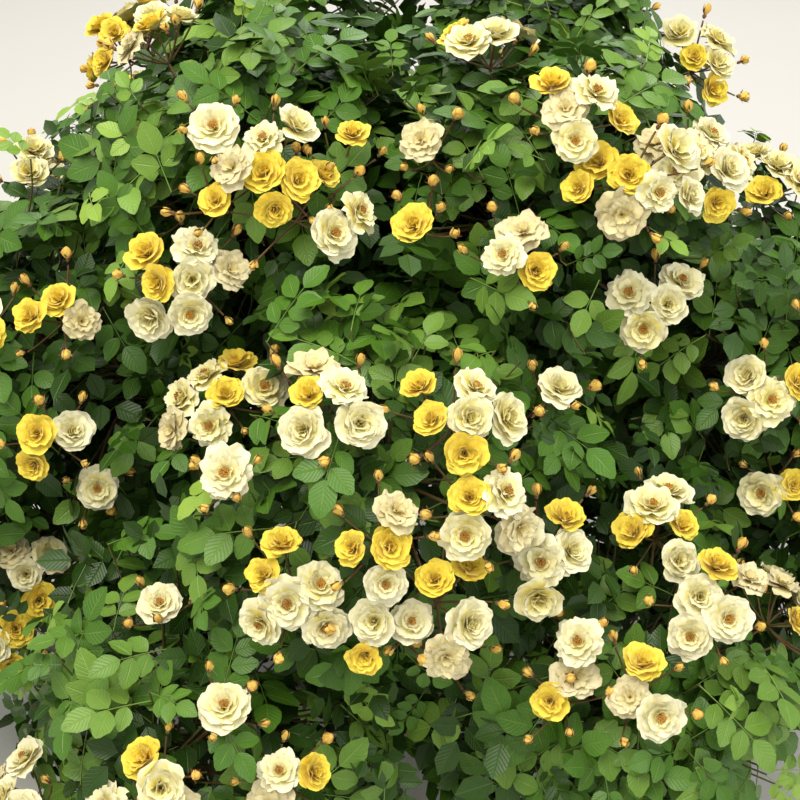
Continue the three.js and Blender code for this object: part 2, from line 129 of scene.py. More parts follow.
# The eye before the bush, and where its trusses show to it: columns and rows of a view that is
# 800 by 800, then each bloom in the truss: c cream, y yellow, f faded, w withered
EYE = Named(place=xyz(0, -1780, 1550), down=31, focus=1705, middle=400)
EYE.forward = xyz(0, math.cos(math.radians(EYE.down)), -math.sin(math.radians(EYE.down)))
EYE.upward = xyz(0, math.sin(math.radians(EYE.down)), math.cos(math.radians(EYE.down)))
FRONT_TRUSSES = {
    "upper left": [(82, 30, "yyy"), (20, 130, "cc"), (213, 124, "c"), (270, 158, "ycyfcy")],
    "upper middle": [(300, 212, "cyc"), (214, 198, "y"), (361, 164, "y"), (404, 223, "y")],
    "over the middle": [(410, 140, "f")],
    "left crest": [(180, 275, "cyccyfc"), (200, 368, "cycyccf")],
    "left side": [(68, 303, "yfy"), (48, 438, "ycy"), (100, 497, "c"), (225, 473, "c")],
    "middle": [(320, 397, "yccfc"), (458, 412, "cycyyc"), (482, 502, "yccf"), (563, 383, "c")],
    "before the right crest": [(510, 268, "cyf"), (578, 108, "fccyy")],
    "right crest": [(640, 165, "ycycfcy"), (705, 160, "ccccyfc")],
    "far right": [(770, 170, "cycc"), (722, 50, "cycyc")],
    "right side": [(692, 328, "cccc"), (768, 388, "ccyc"), (782, 488, "yc")],
    "low right": [(562, 548, "ccycc"), (660, 517, "cyycc"), (712, 588, "cycfc")],
    "low middle": [(378, 540, "yyfc"), (385, 628, "ccy"), (442, 605, "ycyf")],
    "low left": [(285, 590, "cyccyc"), (172, 582, "c"), (45, 580, "ccyf")],
    "front branch": [(225, 703, "c"), (160, 774, "cy"), (290, 778, "cyf")],
    "foot": [(577, 642, "c"), (562, 697, "yf"), (640, 688, "fyc"), (467, 672, "w")],
}
REST_TRUSSES = Named(tries=9, outward=0.75, underside=-0.25, turned_away=0.12)
REST_TRUSSES.kinds = ["cycy", "yccf", "ccyfc", "cy", "cyfcyc"]

# What the solids leave to the looks. wall is kept clear of a mass's walls, room of other blooms
TRUSS = Named(fork=46, spacing=21, more_tries=16, buds=4, dome=0.005, tilt=0.62, size=(0.82, 1.05))
TRUSS.spiral = Named(start=0.35, alone=0.6)
TRUSS.jitter = Named(rise=(-9, 7), bud_rise=(-6, 12), tilt=(-0.12, 0.2), sway=(-0.25, 0.25))
BLOOM = Named(room=30.5, wall=14, neck=7)
BUD = Named(room=25, wall=4, neck=12)
STALK = Named(stem=(2.8, 1.8), forked=(1.44, 1.2), bow=10)
SPRAYS = {
    "outer": Named(count=68, reach=(0.8, 0.98), lean=0.4),
    "inner": Named(count=44, reach=(0.46, 0.8), lean=0.3),
}
WALL_SPRAYS = Named(count=10, reach=1.03, edge=1.08, outside=0.35)
SPRAY = Named(leaves=5, internode=17, splay=(48, 78), radii=(2.2, 1.0), bare=20, spare=2)
SPRAY.leaf = Named(size=(0.78, 1.12), spacing=(0.8, 1.2), wobble=0.22)
SPRAY.tip_leaf = Named(size=0.72, splay=0.775)  # against the others
SIDE_SHOOT = Named(first=0.12, last=0.94, lower=0.6)  # where on the shoot one may leave it
CORE_SHARE = 0.4  # leaves nearer the middle of a mass than this never show
LEAF_ROOM = Named(past_wall=19, bloom=34, behind=-12, before=160, beside=20)

UP = xyz(0, 0, 1)
GOLDEN_TURN = math.pi * (3 - math.sqrt(5))
WHOLE_TURN = 2 * math.pi


# Small helpers
def linear(colour):
    """A #rrggbb colour as linear values."""
    values = [int(colour[i : i + 2], 16) / 255 for i in (1, 3, 5)]
    return tuple(v / 12.92 if v <= 0.04045 else ((v + 0.055) / 1.055) ** 2.4 for v in values)


def stream(seed):
    """Evenly spread numbers from 0 to 1, the same on each run and the same as the solids'."""
    state = (seed * 2654435761) % 2**32

    def draw():
        nonlocal state
        state = (state * 1664525 + 1013904223) % 2**32
        return state / 2**32

    return draw


def between(draw, low, high):
    return low + (high - low) * draw()


def angle_between(draw, low, high):
    """An angle between two, which are in degrees."""
    return math.radians(between(draw, low, high))


def unit(v):
    return v / (np.linalg.norm(v) or 1)


def blend(*pairs):
    return unit(sum(np.asarray(v) * share for v, share in pairs))


def spread_direction(k, n):
    """The k-th of n directions spread evenly over a sphere."""
    z = 1 - (2 * k + 1) / n
    r = math.sqrt(1 - z * z)
    return xyz(r * math.cos(k * GOLDEN_TURN), r * math.sin(k * GOLDEN_TURN), z)


def square_to(direction, steep=0.95):
    """Two directions across this one and square to each other, the first of them level. They are
    square to this one too, unless it is steep."""
    level = unit(np.cross(direction, UP)) if abs(direction[2]) < steep else xyz(1, 0, 0)
    return level, np.cross(level, direction)


def around(first, second, angle):
    return first * math.cos(angle) + second * math.sin(angle)


def frame_along(x_axis, z_hint):
    """A turn whose X runs along x_axis and whose Z is as near z_hint as it can be."""
    x = unit(x_axis)
    z = unit(z_hint - x * x.dot(z_hint))
    return np.array([x, np.cross(z, x), z]).T


def turns(*steps):
    """The turn that these (axis, angle) steps make, the last one first."""
    whole = Matrix.Identity(3)
    for axis, angle in steps:
        whole = whole @ Matrix.Rotation(angle, 3, axis)
    return np.array(whole)


def bezier(corners, steps):
    """Points along a curve that these corners pull, from its start to its end."""
    t = np.linspace(0, 1, steps + 1)[:, None]
    layers = [np.repeat(np.asarray(c, float)[None, :], steps + 1, 0) for c in corners]
    while len(layers) > 1:
        layers = [a * (1 - t) + b * t for a, b in zip(layers, layers[1:])]
    return layers[0]


def tapered(points, start, end):
    """A limb: its points, and its radius at each."""
    return points, np.linspace(start, end, len(points))


# The skeleton: masses, canes and trusses, by the solids' rule
def make_masses():
    draw = stream(SEED)
    masses = []
    for ring, count, out, height, size, turn, step, leave in RINGS:
        for i in range(count):
            azimuth = math.radians(turn + i * step + between(draw, -1, 1) * RING_JITTER.turn)
            reach = out + between(draw, -1, 1) * RING_JITTER.out
            level = height + between(draw, -1, 1) * RING_JITTER.height
            x = math.cos(azimuth) * reach * CROWN.half_width
            y = math.sin(azimuth) * reach * CROWN.half_depth
            mass = Named(ring=ring, size=size, azimuth=azimuth, leave=math.radians(leave))
            mass.centre = xyz(x, y, level)
            mass.outward = unit(mass.centre - CROWN.core)
            masses.append(mass)
    for mass in masses:
        others = [other for other in masses if other is not mass]
        apart = np.array([other.centre - mass.centre for other in others])
        distance = np.linalg.norm(apart, axis=1)
        sizes = np.array([other.size for other in others])
        away = (distance**2 + mass.size**2 - sizes**2) / (2 * distance)
        mass.normals = apart / distance[:, None]
        mass.limits = mass.normals @ mass.centre + away - GAP
    return masses


def in_cell(mass, point, margin=0.0):
    return bool(np.all(mass.normals @ point < mass.limits - margin))


def room_along(mass, direction):
    """How far a mass's space goes from its middle in a direction, before it meets a wall."""
    approach = mass.normals @ direction
    room = mass.limits - mass.normals @ mass.centre
    return float(np.min(room[approach > 0] / approach[approach > 0], initial=math.inf))


def in_valley(mass, direction):
    """True where a mass meets a neighbour before it thins out, so that its leaves fill the valley."""
    return room_along(mass, direction) < mass.size * VALLEY.room


def in_space(mass, point, margin=0.0):
    apart = point - mass.centre
    distance = np.linalg.norm(apart)
    outside = VALLEY.outside if in_valley(mass, apart / distance) else MASS.outside
    return point[2] > MASS.lowest and distance < mass.size * outside and in_cell(mass, point, margin)


def make_cane(mass):
    level = xyz(math.cos(mass.azimuth), math.sin(mass.azimuth), 0)
    sideways = math.sin(mass.leave)
    start = blend((level, sideways), (UP, math.cos(mass.leave)))
    foot = UP * STOOL.head_height + start * (STOOL.head + GAP)
    finish = blend((level, sideways), (UP, 1 - CANE.droop * sideways))
    end = mass.centre - finish * MASS.entry * mass.size
    span = np.linalg.norm(end - foot)
    corners = [foot, foot + start * CANE.rise * span, end - finish * CANE.settle * span, end]
    return Named(corners=corners, start=start, end=end, finish=finish)


def front_truss(row, masses):
    """The truss that shows at a column and row: it stands on the ball that the line of sight meets."""
    column, line, kinds = row
    aside = xyz(column - EYE.middle, 0, 0)
    sight = unit(EYE.forward * EYE.focus + EYE.upward * (EYE.middle - line) + aside)
    best = None
    for mass in masses:
        to_centre = mass.centre - EYE.place
        along = to_centre.dot(sight)
        radius = mass.size * TRUSS_DEPTH
        offset = to_centre.dot(to_centre) - along**2
        reach = along - math.sqrt(radius**2 - offset) if offset < radius**2 else along
        miss = max(0.0, math.sqrt(offset) - radius)
        if best is None or (miss, reach) < best[:2]:
            best = (miss, reach, mass)
    _, reach, mass = best
    normal = unit(EYE.place + sight * reach - mass.centre)
    place = mass.centre + normal * mass.size * TRUSS_DEPTH
    for wall, limit in zip(mass.normals, mass.limits):
        place = place + wall * min(0.0, limit - BLOOM_ROOM - wall.dot(place))
    facing = blend((normal, 0.6), (UP, 0.35), (unit(EYE.place - place), 0.7))
    return Named(mass=mass, place=place, facing=facing, kinds=kinds)


def in_front_view(place, normal):
    """True for a place on the crown that the eye sees."""
    to_place = place - EYE.place
    depth = to_place.dot(EYE.forward)
    column = to_place[0] / depth * EYE.focus
    line = to_place.dot(EYE.upward) / depth * EYE.focus
    facing = -normal.dot(unit(to_place))
    return facing > REST_TRUSSES.turned_away and max(abs(column), abs(line)) < EYE.middle


def make_trusses(masses):
    trusses = [front_truss(row, masses) for rows in FRONT_TRUSSES.values() for row in rows]
    draw = stream(SEED + 1)
    for mass in masses:
        for k in range(REST_TRUSSES.tries):
            spread = spread_direction(k, REST_TRUSSES.tries)
            normal = blend((spread, 1), (mass.outward, REST_TRUSSES.outward))
            place = mass.centre + normal * mass.size * TRUSS_DEPTH
            kinds = REST_TRUSSES.kinds[int(draw() * len(REST_TRUSSES.kinds))]
            hidden = normal[2] < REST_TRUSSES.underside or not in_cell(mass, place, BLOOM_ROOM)
            if not hidden and not in_front_view(place, normal):
                facing = blend((normal, 0.8), (UP, 0.35))
                trusses.append(Named(mass=mass, place=place, facing=facing, kinds=kinds))
    return trusses


# Growth: what each mass carries. A bloom or bud is (kind, place, turn, size, tint)
def shoot_of(mass, cane):
    """The shoot goes on from the cane's tip through the middle of its mass."""
    end = mass.centre + mass.outward * SHOOT.reach * mass.size
    return [cane.end + cane.finish * GAP, mass.centre, end]


def side_shoot(shoot, tip, finish, leave, arrive, steps):
    """A curve from the shoot to a tip. It leaves lower than its tip, along the shoot, as a side shoot
    does, and arrives along finish."""
    a, b, c = shoot
    length = np.linalg.norm(c - a)
    axis = (c - a) / length
    to_tip = tip - a
    ahead = to_tip.dot(axis)
    beside = math.sqrt(max(0.0, to_tip.dot(to_tip) - ahead**2))
    share = (ahead - SIDE_SHOOT.lower * beside) / length
    share = min(SIDE_SHOOT.last, max(SIDE_SHOOT.first, share))
    start = a * (1 - share) ** 2 + b * 2 * share * (1 - share) + c * share**2
    tangent = unit((b - a) * (1 - share) + (c - b) * share)
    reach = np.linalg.norm(tip - start)
    return bezier([start, start + tangent * leave * reach, tip - finish * arrive * reach, tip], steps)


def grow_truss(growth, truss, shoot, draw):
    """A truss: its blooms lie in a spiral round its middle, and its buds stand round them. One that
    would lie in a bloom or leave its space is tried again at the next place of the spiral."""
    facing = truss.facing
    jitter, spiral = TRUSS.jitter, TRUSS.spiral
    fork = truss.place - facing * TRUSS.fork
    growth.stalks.append(tapered(side_shoot(shoot, fork, facing, 0.35, 0.3, 8), *STALK.stem))
    side, third = square_to(facing)
    first_turn = draw() * WHOLE_TURN
    kinds = list(truss.kinds + "b" * TRUSS.buds)
    alone = len(truss.kinds) == 1
    for k in range(len(kinds) + TRUSS.more_tries):
        if not kinds:
            break
        bud = kinds[0] == "b"
        own = BUD if bud else BLOOM
        radius = TRUSS.spacing * math.sqrt(spiral.alone * k if alone else k + spiral.start)
        sideways = around(side, third, first_turn + k * GOLDEN_TURN)
        rise = between(draw, *jitter.rise) + (between(draw, *jitter.bud_rise) if bud else 0)
        middle = truss.place + sideways * radius + facing * (rise - TRUSS.dome * radius**2)
        clear = all(np.linalg.norm(place - middle) > own.room for _, place, *_ in growth.blooms)
        if not clear or not in_cell(truss.mass, middle, own.wall):
            continue
        kind = kinds.pop(0)
        tilt = TRUSS.tilt * radius / (TRUSS.spacing * 2) + between(draw, *jitter.tilt)
        sway = between(draw, *jitter.sway)
        looks = blend((facing, 1), (sideways, tilt), (np.cross(facing, sideways), sway), (UP, 0.12))
        turned = frame_along(np.cross(looks, sideways) + 0.01 * side, looks)
        spin = turns(("Z", draw() * WHOLE_TURN))
        neck = middle - looks * own.neck
        bow = fork + (neck - fork) * 0.5 - looks * STALK.bow
        growth.stalks.append(tapered(bezier([fork, bow, neck], 4), *STALK.forked))
        place = (kind, middle, turned @ spin, between(draw, *TRUSS.size), draw())
        (growth.buds if bud else growth.blooms).append(place)


def wall_directions(mass):
    """Directions to places spread over each wall that the mass shares with a near neighbour."""
    room = mass.limits - mass.normals @ mass.centre
    for normal, away in zip(mass.normals, room):
        if away > mass.size * WALL_SPRAYS.reach:
            continue
        side, third = square_to(normal)
        radius = math.sqrt((mass.size * WALL_SPRAYS.edge) ** 2 - away**2)
        for k in range(WALL_SPRAYS.count):
            beside = around(side, third, k * GOLDEN_TURN) * radius
            yield unit(normal * away + beside * math.sqrt((k + 0.5) / WALL_SPRAYS.count))


def at_length(spray, lengths):
    """The place, or places, at a length along a spray's twig."""
    return np.array([np.interp(lengths, spray.along, spray.points[:, axis]) for axis in range(3)]).T


def grow_spray(growth, mass, shoot, direction, share, kind, draw):
    """A side shoot with a spray of leaves at its end. The leaves at a wall face out of the crown, and
    where the wall comes out to the light they are full ones."""
    walled = kind == "wall"
    inner = kind == "inner" or (walled and direction.dot(mass.outward) < WALL_SPRAYS.outside)
    wish = share * mass.size * (VALLEY.stretch if in_valley(mass, direction) else 1)
    distance = min(wish, room_along(mass, direction) - MASS.wall_gap)
    tip = mass.centre + direction * distance
    if distance < CORE_SHARE * mass.size or tip[2] < MASS.lowest + SPRAY.bare:
        return
    finish = blend((direction, 1), (UP, 0.35))
    points = side_shoot(shoot, tip, finish, 0.3, 0.35, 7)
    lengths = np.linalg.norm(np.diff(points, axis=0), axis=1)
    along = np.concatenate([[0], np.cumsum(lengths)])
    spray = Named(points=points, along=along, last_leaf=0.0)
    growth.sprays.append(spray)
    first_turn = draw() * WHOLE_TURN
    tint = draw()
    for k in range(SPRAY.leaves - (1 if inner else 0)):
        back = along[-1] - SPRAY.spare - SPRAY.internode * k * between(draw, *SPRAY.leaf.spacing)
        if back < SPRAY.bare:
            break
        root = at_length(spray, back)
        outward = blend((root - mass.centre, 1 / mass.size), (finish, 0.4))
        side, third = square_to(outward, 0.97)
        splay = angle_between(draw, *SPRAY.splay) * (SPRAY.tip_leaf.splay if k == 0 else 1)
        turn = first_turn + k * GOLDEN_TURN
        level = math.sin(splay)
        pointing = blend(
            (outward, math.cos(splay)), (side, level * math.cos(turn)), (third, level * math.sin(turn))
        )
        faced = (0.15, 0.8) if walled else (0.8, 0.25)
        light = blend((outward, faced[0]), (mass.outward, faced[1]), (UP, 0.5))
        wobble = xyz(*(between(draw, -1, 1) for _ in range(3)))
        turned = frame_along(pointing, light + wobble * SPRAY.leaf.wobble)
        size = between(draw, *SPRAY.leaf.size) * (SPRAY.tip_leaf.size if k == 0 else 1)
        leaf = Named(inner=inner, root=root, turned=turned, size=size, tint=tint)
        leaf.mass, leaf.spray, leaf.back, leaf.newest = mass, spray, back, k == 0
        growth.leaves.append(leaf)


def keep_leaf(leaf, blooms, axes, shown):
    """True if a leaf keeps to its mass's space, is clear of the blooms and hides none that faces
    the eye."""
    ahead = leaf.turned[:, 0] * LEAF_SPAN.reach * leaf.size
    half = leaf.turned[:, 1] * LEAF_SPAN.half_width * leaf.size
    middle = leaf.root + leaf.turned[:, 0] * LEAF_SPAN.reach * LEAF_SPAN.middle * leaf.size
    spots = (middle, leaf.root + ahead, middle + half, middle - half)
    if not all(in_space(leaf.mass, spot, -LEAF_ROOM.past_wall) for spot in spots[1:]):
        return False
    if np.linalg.norm(middle - leaf.mass.centre) < leaf.mass.size * CORE_SHARE:
        return False
    for spot in spots:
        apart = spot - blooms
        near = np.linalg.norm(apart, axis=1) < LEAF_ROOM.bloom
        if np.any(near & (np.sum(apart * axes, axis=1) > LEAF_ROOM.behind)):
            return False
        apart = spot - shown
        sight = unit(EYE.place - spot)
        ahead = apart @ sight
        beside = np.linalg.norm(apart - ahead[:, None] * sight, axis=1)
        if np.any((ahead > 0) & (ahead < LEAF_ROOM.before) & (beside < LEAF_ROOM.beside)):
            return False
    return True


def grow_bush():
    masses = make_masses()
    trusses = make_trusses(masses)
    growth = Named(canes=[make_cane(mass) for mass in masses], shoots=[], twigs=[], stalks=[])
    growth.sprays, growth.leaves, growth.blooms, growth.buds = [], [], [], []
    for mass, cane in zip(masses, growth.canes):
        draw = stream(SEED * 7 + int(math.floor(mass.centre[0] + mass.centre[1] * 3 + 0.5)))
        shoot = shoot_of(mass, cane)
        growth.shoots.append(tapered(bezier(shoot, 10), SHOOT.start, SHOOT.end))
        for truss in trusses:
            if truss.mass is mass:
                grow_truss(growth, truss, shoot, draw)
        for kind, own in SPRAYS.items():
            for k in range(own.count):
                direction = blend((spread_direction(k, own.count), 1), (mass.outward, own.lean))
                grow_spray(growth, mass, shoot, direction, between(draw, *own.reach), kind, draw)
        for direction in wall_directions(mass):
            grow_spray(growth, mass, shoot, direction, 1.0, "wall", draw)
    blooms = np.array([place for _, place, _, _, _ in growth.blooms])
    axes = np.array([turned[:, 2] for _, _, turned, _, _ in growth.blooms])
    shown = blooms[np.sum(axes * (EYE.place - blooms), axis=1) > -0.1 * EYE.focus]
    growth.leaves = [leaf for leaf in growth.leaves if keep_leaf(leaf, blooms, axes, shown)]
    for leaf in growth.leaves:
        leaf.spray.last_leaf = max(leaf.spray.last_leaf, leaf.back)
    growth.twigs += [trimmed(spray) for spray in growth.sprays if spray.last_leaf]
    return growth


def trimmed(spray):
    """The twig of a spray, cut off just past the last leaf that it keeps."""
    end = min(spray.along[-1], spray.last_leaf + SPRAY.spare)
    return tapered(at_length(spray, np.linspace(0, end, len(spray.points))), *SPRAY.radii)


# Node trees
def fill_inputs(tree, node, inputs):
    """Gives a node's inputs their values or links: a list by place, a dict by name or number. A node
    stands for the first of its outputs that is in use."""
    for socket, source in inputs.items() if isinstance(inputs, dict) else enumerate(inputs):
        if isinstance(source, bpy.types.Node):
            source = next(output for output in source.outputs if output.enabled)
        if isinstance(source, bpy.types.NodeSocket):
            tree.links.new(source, node.inputs[socket])
        else:
            node.inputs[socket].default_value = source


def add_node(tree, kind, inputs=(), **settings):
    """Adds a node with its settings and links, and returns it."""
    node = tree.nodes.new(kind)
    for name, value in settings.items():
        setattr(node, name, value)
    fill_inputs(tree, node, inputs)
    return node


def new_tree(name, inputs):
    """A tree on geometry with these named inputs, and a material. Returns the tree, what adds a node
    to it, and its inputs."""
    tree = bpy.data.node_groups.new(name, "GeometryNodeTree")
    for way in ("INPUT", "OUTPUT"):
        tree.interface.new_socket("Geometry", in_out=way, socket_type="NodeSocketGeometry")
    for label, kind, default in (*inputs, ("Material", "NodeSocketMaterial", None)):
        socket = tree.interface.new_socket(label, in_out="INPUT", socket_type=kind)
        if default is not None:
            socket.default_value = default
    add = partial(add_node, tree)
    return tree, add, add("NodeGroupInput").outputs


def finish_tree(tree, geometry, material):
    real = add_node(tree, "GeometryNodeRealizeInstances", [geometry])
    coat = add_node(tree, "GeometryNodeSetMaterial", {"Geometry": real, "Material": material})
    add_node(tree, "NodeGroupOutput", [coat])
    return tree


def scatter_tree(name):
    """Puts a copy of one of several kinds at each point, by the point's own turn and size."""
    inputs = [("Kinds", "NodeSocketCollection", None), ("Size", "NodeSocketFloat", 1.0)]
    tree, add, given = new_tree(name, inputs)
    read = "GeometryNodeInputNamedAttribute"
    size = add("ShaderNodeMath", [add(read, ["size"]), given["Size"]], operation="MULTIPLY")
    kinds = {"Collection": given["Kinds"], "Separate Children": True, "Reset Children": True}
    copies = {
        "Points": given["Geometry"],
        "Instance": add("GeometryNodeCollectionInfo", kinds),
        "Pick Instance": True,
        "Instance Index": add(read, ["pick"], data_type="INT"),
        "Rotation": add(read, ["turn"], data_type="QUATERNION"),
        "Scale": size,
    }
    return finish_tree(tree, add("GeometryNodeInstanceOnPoints", copies), given["Material"])


def limb_tree(name):
    """Sweeps a round section of each point's own thickness along lines of edges."""
    inputs = [("Sides", "NodeSocketInt", 6), ("Thickness", "NodeSocketFloat", 1.0)]
    tree, add, given = new_tree(name, inputs)
    thickness = add("GeometryNodeInputNamedAttribute", ["thickness"])
    section = {"Resolution": given["Sides"], "Radius": 1.0}
    sweep = {
        "Curve": add("GeometryNodeMeshToCurve", [given["Geometry"]]),
        "Profile Curve": add("GeometryNodeCurvePrimitiveCircle", section),
        "Scale": add("ShaderNodeMath", [thickness, given["Thickness"]], operation="MULTIPLY"),
        "Fill Caps": True,
    }
    smooth = add("GeometryNodeSetShadeSmooth", [add("GeometryNodeCurveToMesh", sweep)])
    return finish_tree(tree, smooth, given["Material"])


def node_input(tree, label):
    """A modifier's input is set by the socket's identifier."""
    for item in tree.interface.items_tree:
        if item.item_type == "SOCKET" and item.in_out == "INPUT" and item.name == label:
            return item.identifier
    raise KeyError(label)


def grown_mesh(name, points, make_tree, settings):
    """Runs a node tree on a mesh of points and returns the result as a plain mesh."""
    label = make_tree.__name__
    tree = bpy.data.node_groups.get(label) or make_tree(label)
    source = new_object(name + "_points", points)
    modifier = source.modifiers.new("Grow", "NODES")
    modifier.node_group = tree
    for socket, value in settings.items():
        modifier[node_input(tree, socket)] = value
    source.update_tag()
    bpy.context.view_layer.update()
    evaluated = source.evaluated_get(bpy.context.evaluated_depsgraph_get())
    mesh = bpy.data.meshes.new_from_object(evaluated)
    mesh.name = name
    mesh.materials.clear()
    mesh.materials.append(settings["Material"])
    source.modifiers.remove(modifier)
    bpy.data.objects.remove(source)
    bpy.data.meshes.remove(points)
    return mesh


def new_object(name, data, collection=None):
    """Makes an object of this data and puts it in a collection, or else in the scene."""
    made = bpy.data.objects.new(name, data)
    (collection or bpy.context.scene.collection).objects.link(made)
    return made


def add_values(mesh, **given):
    """Gives each point of a mesh a value by each name: a number, a whole number or a quaternion."""
    for name, values in given.items():
        values = np.asarray(values)
        whole = values.dtype.kind == "i"
        kind = "QUATERNION" if values.ndim == 2 else "INT" if whole else "FLOAT"
        attribute = mesh.attributes.new(name, kind, "POINT")
        attribute.data.foreach_set("value", values.astype(np.int32 if whole else np.float32).ravel())


def add_piece(name, mesh, nodes=()):
    """Puts a finished mesh in the scene as a piece of the bush."""
    piece = new_object(name, mesh)
    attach(piece, "root")
    if nodes:
        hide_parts(*nodes)


def add_copies(name, places, kinds, material, nodes=()):
    """A piece made of copies. places is a list of (kind's number, place in mm, turn, size, tint),
    kinds a list of meshes."""
    collection = bpy.data.collections.new(name + "_kinds")
    for k, kind in enumerate(kinds):
        new_object(f"{name}_kind_{k:02d}", kind, collection)
    picks, spots, turned, sizes, tints = zip(*places)
    points = bpy.data.meshes.new(name + "_points")
    points.from_pydata([tuple(spot * MM) for spot in spots], [], [])
    quaternions = [tuple(Matrix(turn.tolist()).to_quaternion()) for turn in turned]
    add_values(points, pick=picks, turn=quaternions, size=sizes, tint=tints)
    settings = {"Kinds": collection, "Size": 1.0, "Material": material}
    mesh = grown_mesh(name, points, scatter_tree, settings)
    for child in list(collection.objects):
        bpy.data.objects.remove(child)
    bpy.data.collections.remove(collection)
    for spent in ("pick", "turn", "size"):
        if spent in mesh.attributes:
            mesh.attributes.remove(mesh.attributes[spent])
    add_piece(name, mesh, nodes)


def add_limbs(name, limbs, sides, material, nodes):
    """A piece made of limbs, a list of (points in mm, radii)."""
    places, edges, thicknesses = [], [], []
    for points, radii in limbs:
        first = len(places)
        places.extend(tuple(point * MM) for point in points)
        thicknesses.extend(radii * MM)
        edges.extend((first + i, first + i + 1) for i in range(len(points) - 1))
    lines = bpy.data.meshes.new(name + "_lines")
    lines.from_pydata(places, edges, [])
    add_values(lines, thickness=thicknesses)
    settings = {"Sides": sides, "Thickness": 1.0, "Material": material}
    add_piece(name, grown_mesh(name, lines, limb_tree, settings), nodes)


def nodes_named(start):
    return [name for name in frame["nodes"] if name.startswith(start)]


class Sheet:
    """Faces gathered for one mesh, with a UV place for each corner: across, then along."""

    def __init__(self):
        self.points, self.faces, self.places = [], [], []

    def add(self, points, faces, places, turned=np.eye(3), shift=xyz(0, 0, 0)):
        first = len(self.points)
        self.points.extend(turned @ np.asarray(point, float) + shift for point in points)
        self.faces.extend(tuple(first + i for i in face) for face in faces)
        self.places.extend(places)

    def mesh(self, name, **values):
        mesh = bpy.data.meshes.new(name)
        mesh.from_pydata([tuple(point * MM) for point in self.points], [], self.faces)
        layer = mesh.uv_layers.new(name="UVMap")
        corners = np.zeros(len(mesh.loops), np.int32)
        mesh.loops.foreach_get("vertex_index", corners)
        layer.data.foreach_set("uv", np.asarray(self.places, np.float32)[corners].ravel())
        mesh.polygons.foreach_set("use_smooth", [True] * len(mesh.polygons))
        add_values(mesh, **values)
        mesh.update()
        return mesh


def ring_faces(rings, sides):
    """Faces between rings of points that follow one another."""
    faces = []
    for i in range(rings - 1):
        for k in range(sides):
            a, b = i * sides + k, i * sides + (k + 1) % sides
            faces.append((a, b, b + sides, a + sides))
    return faces


def revolved(profile, sides, twist=0.0):
    """Points and faces of a closed body of revolution round Z, from (radius, height) pairs."""
    points, places = [], []
    for i, (radius, height) in enumerate(profile):
        for k in range(sides):
            angle = WHOLE_TURN * k / sides + twist * i
            points.append(xyz(radius * math.cos(angle), radius * math.sin(angle), height))
            places.append((k / sides, i / (len(profile) - 1)))
    ends = [tuple(reversed(range(sides))), tuple(range(len(points) - sides, len(points)))]
    return points, ring_faces(len(profile), sides) + ends, places


# Leaves: a stalk with pairs of leaflets and one at its end. X runs along the stalk, Z faces the light.
LEAFLET = Named(widest=0.45, roundness=0.78, curl=0.16, teeth=0.03, slip=0.02)
LEAFLET.stations = (0, 0.08, 0.2, 0.35, 0.5, 0.65, 0.79, 0.91, 1)
LEAFLET.inner_stations = (0, 0.28, 0.66, 1)
# How far a leaflet of a pair, and the one at the end, may turn (in degrees), grow and droop
PAIRED = Named(turn=(52, 72), roll=(-16, 16), pitch=(-8, 16), size=(0.88, 1.08), fold=(6, 22))
PAIRED.droop = (0.02, 0.22)
ENDMOST = Named(turn=(-8, 8), fold=(6, 20), droop=(0.04, 0.22))
LEAF_SAG = (0.0012, 0.0034)  # a stalk's fall is this times the square of the way along it
# A pair is where it stands on the stalk, and its leaflets' length and width
LEAF_FORMS = {
    "five": Named(stalk=56, pairs=((25, 29, 21), (43, 33, 24)), end=(37, 27)),
    "seven": Named(stalk=68, pairs=((22, 25, 18), (39, 29, 21), (54, 31, 23)), end=(35, 25)),
    "three": Named(stalk=38, pairs=((26, 29, 21),), end=(35, 26)),
}
FULL_LEAVES = ["five", "seven", "five", "seven", "five", "five", "three"]
INNER_LEAVES = ["five", "seven"]  # plain leaves, for the inside of a mass
LEAF_SPAN = Named(reach=94, half_width=36, middle=0.62)


def add_leaflet(sheet, root, turned, size, fold, droop, toothed):
    """A toothed leaflet, folded up a little along its midrib and drooping to its tip."""
    length, width = size
    points, places = [], []
    stations = LEAFLET.stations if toothed else LEAFLET.inner_stations
    for i, t in enumerate(stations):
        bend = droop * t * t * length
        midrib = (t * length, 0.0, -bend)
        if t in (0, 1):
            points.append(midrib)
            places.append((0.5, t))
            continue
        swell = math.pi * t ** (math.log(0.5) / math.log(LEAFLET.widest))
        half = math.sin(swell) ** LEAFLET.roundness
        if toothed:
            half *= 1 + LEAFLET.teeth * (1 if i % 2 else -1)
        half *= width / 2
        rim = half * math.cos(fold)
        lift = half * math.sin(fold) - LEAFLET.curl * half * half / width
        tooth = t * length + (LEAFLET.slip * length if toothed and i % 2 else 0)
        points += [(tooth, rim, lift - bend), midrib, (tooth, -rim, lift - bend)]
        places += [(1.0, t), (0.5, t), (0.0, t)]
    rows = len(stations) - 2
    faces = [(0, 2, 1), (0, 3, 2)]
    for a in range(1, 3 * rows - 2, 3):
        faces += [(a, a + 1, a + 4, a + 3), (a + 1, a + 2, a + 5, a + 4)]
    a, end = 3 * rows - 2, 3 * rows + 1
    faces += [(a, a + 1, end), (a + 1, a + 2, end)]
    sheet.add(points, faces, places, turned, root)


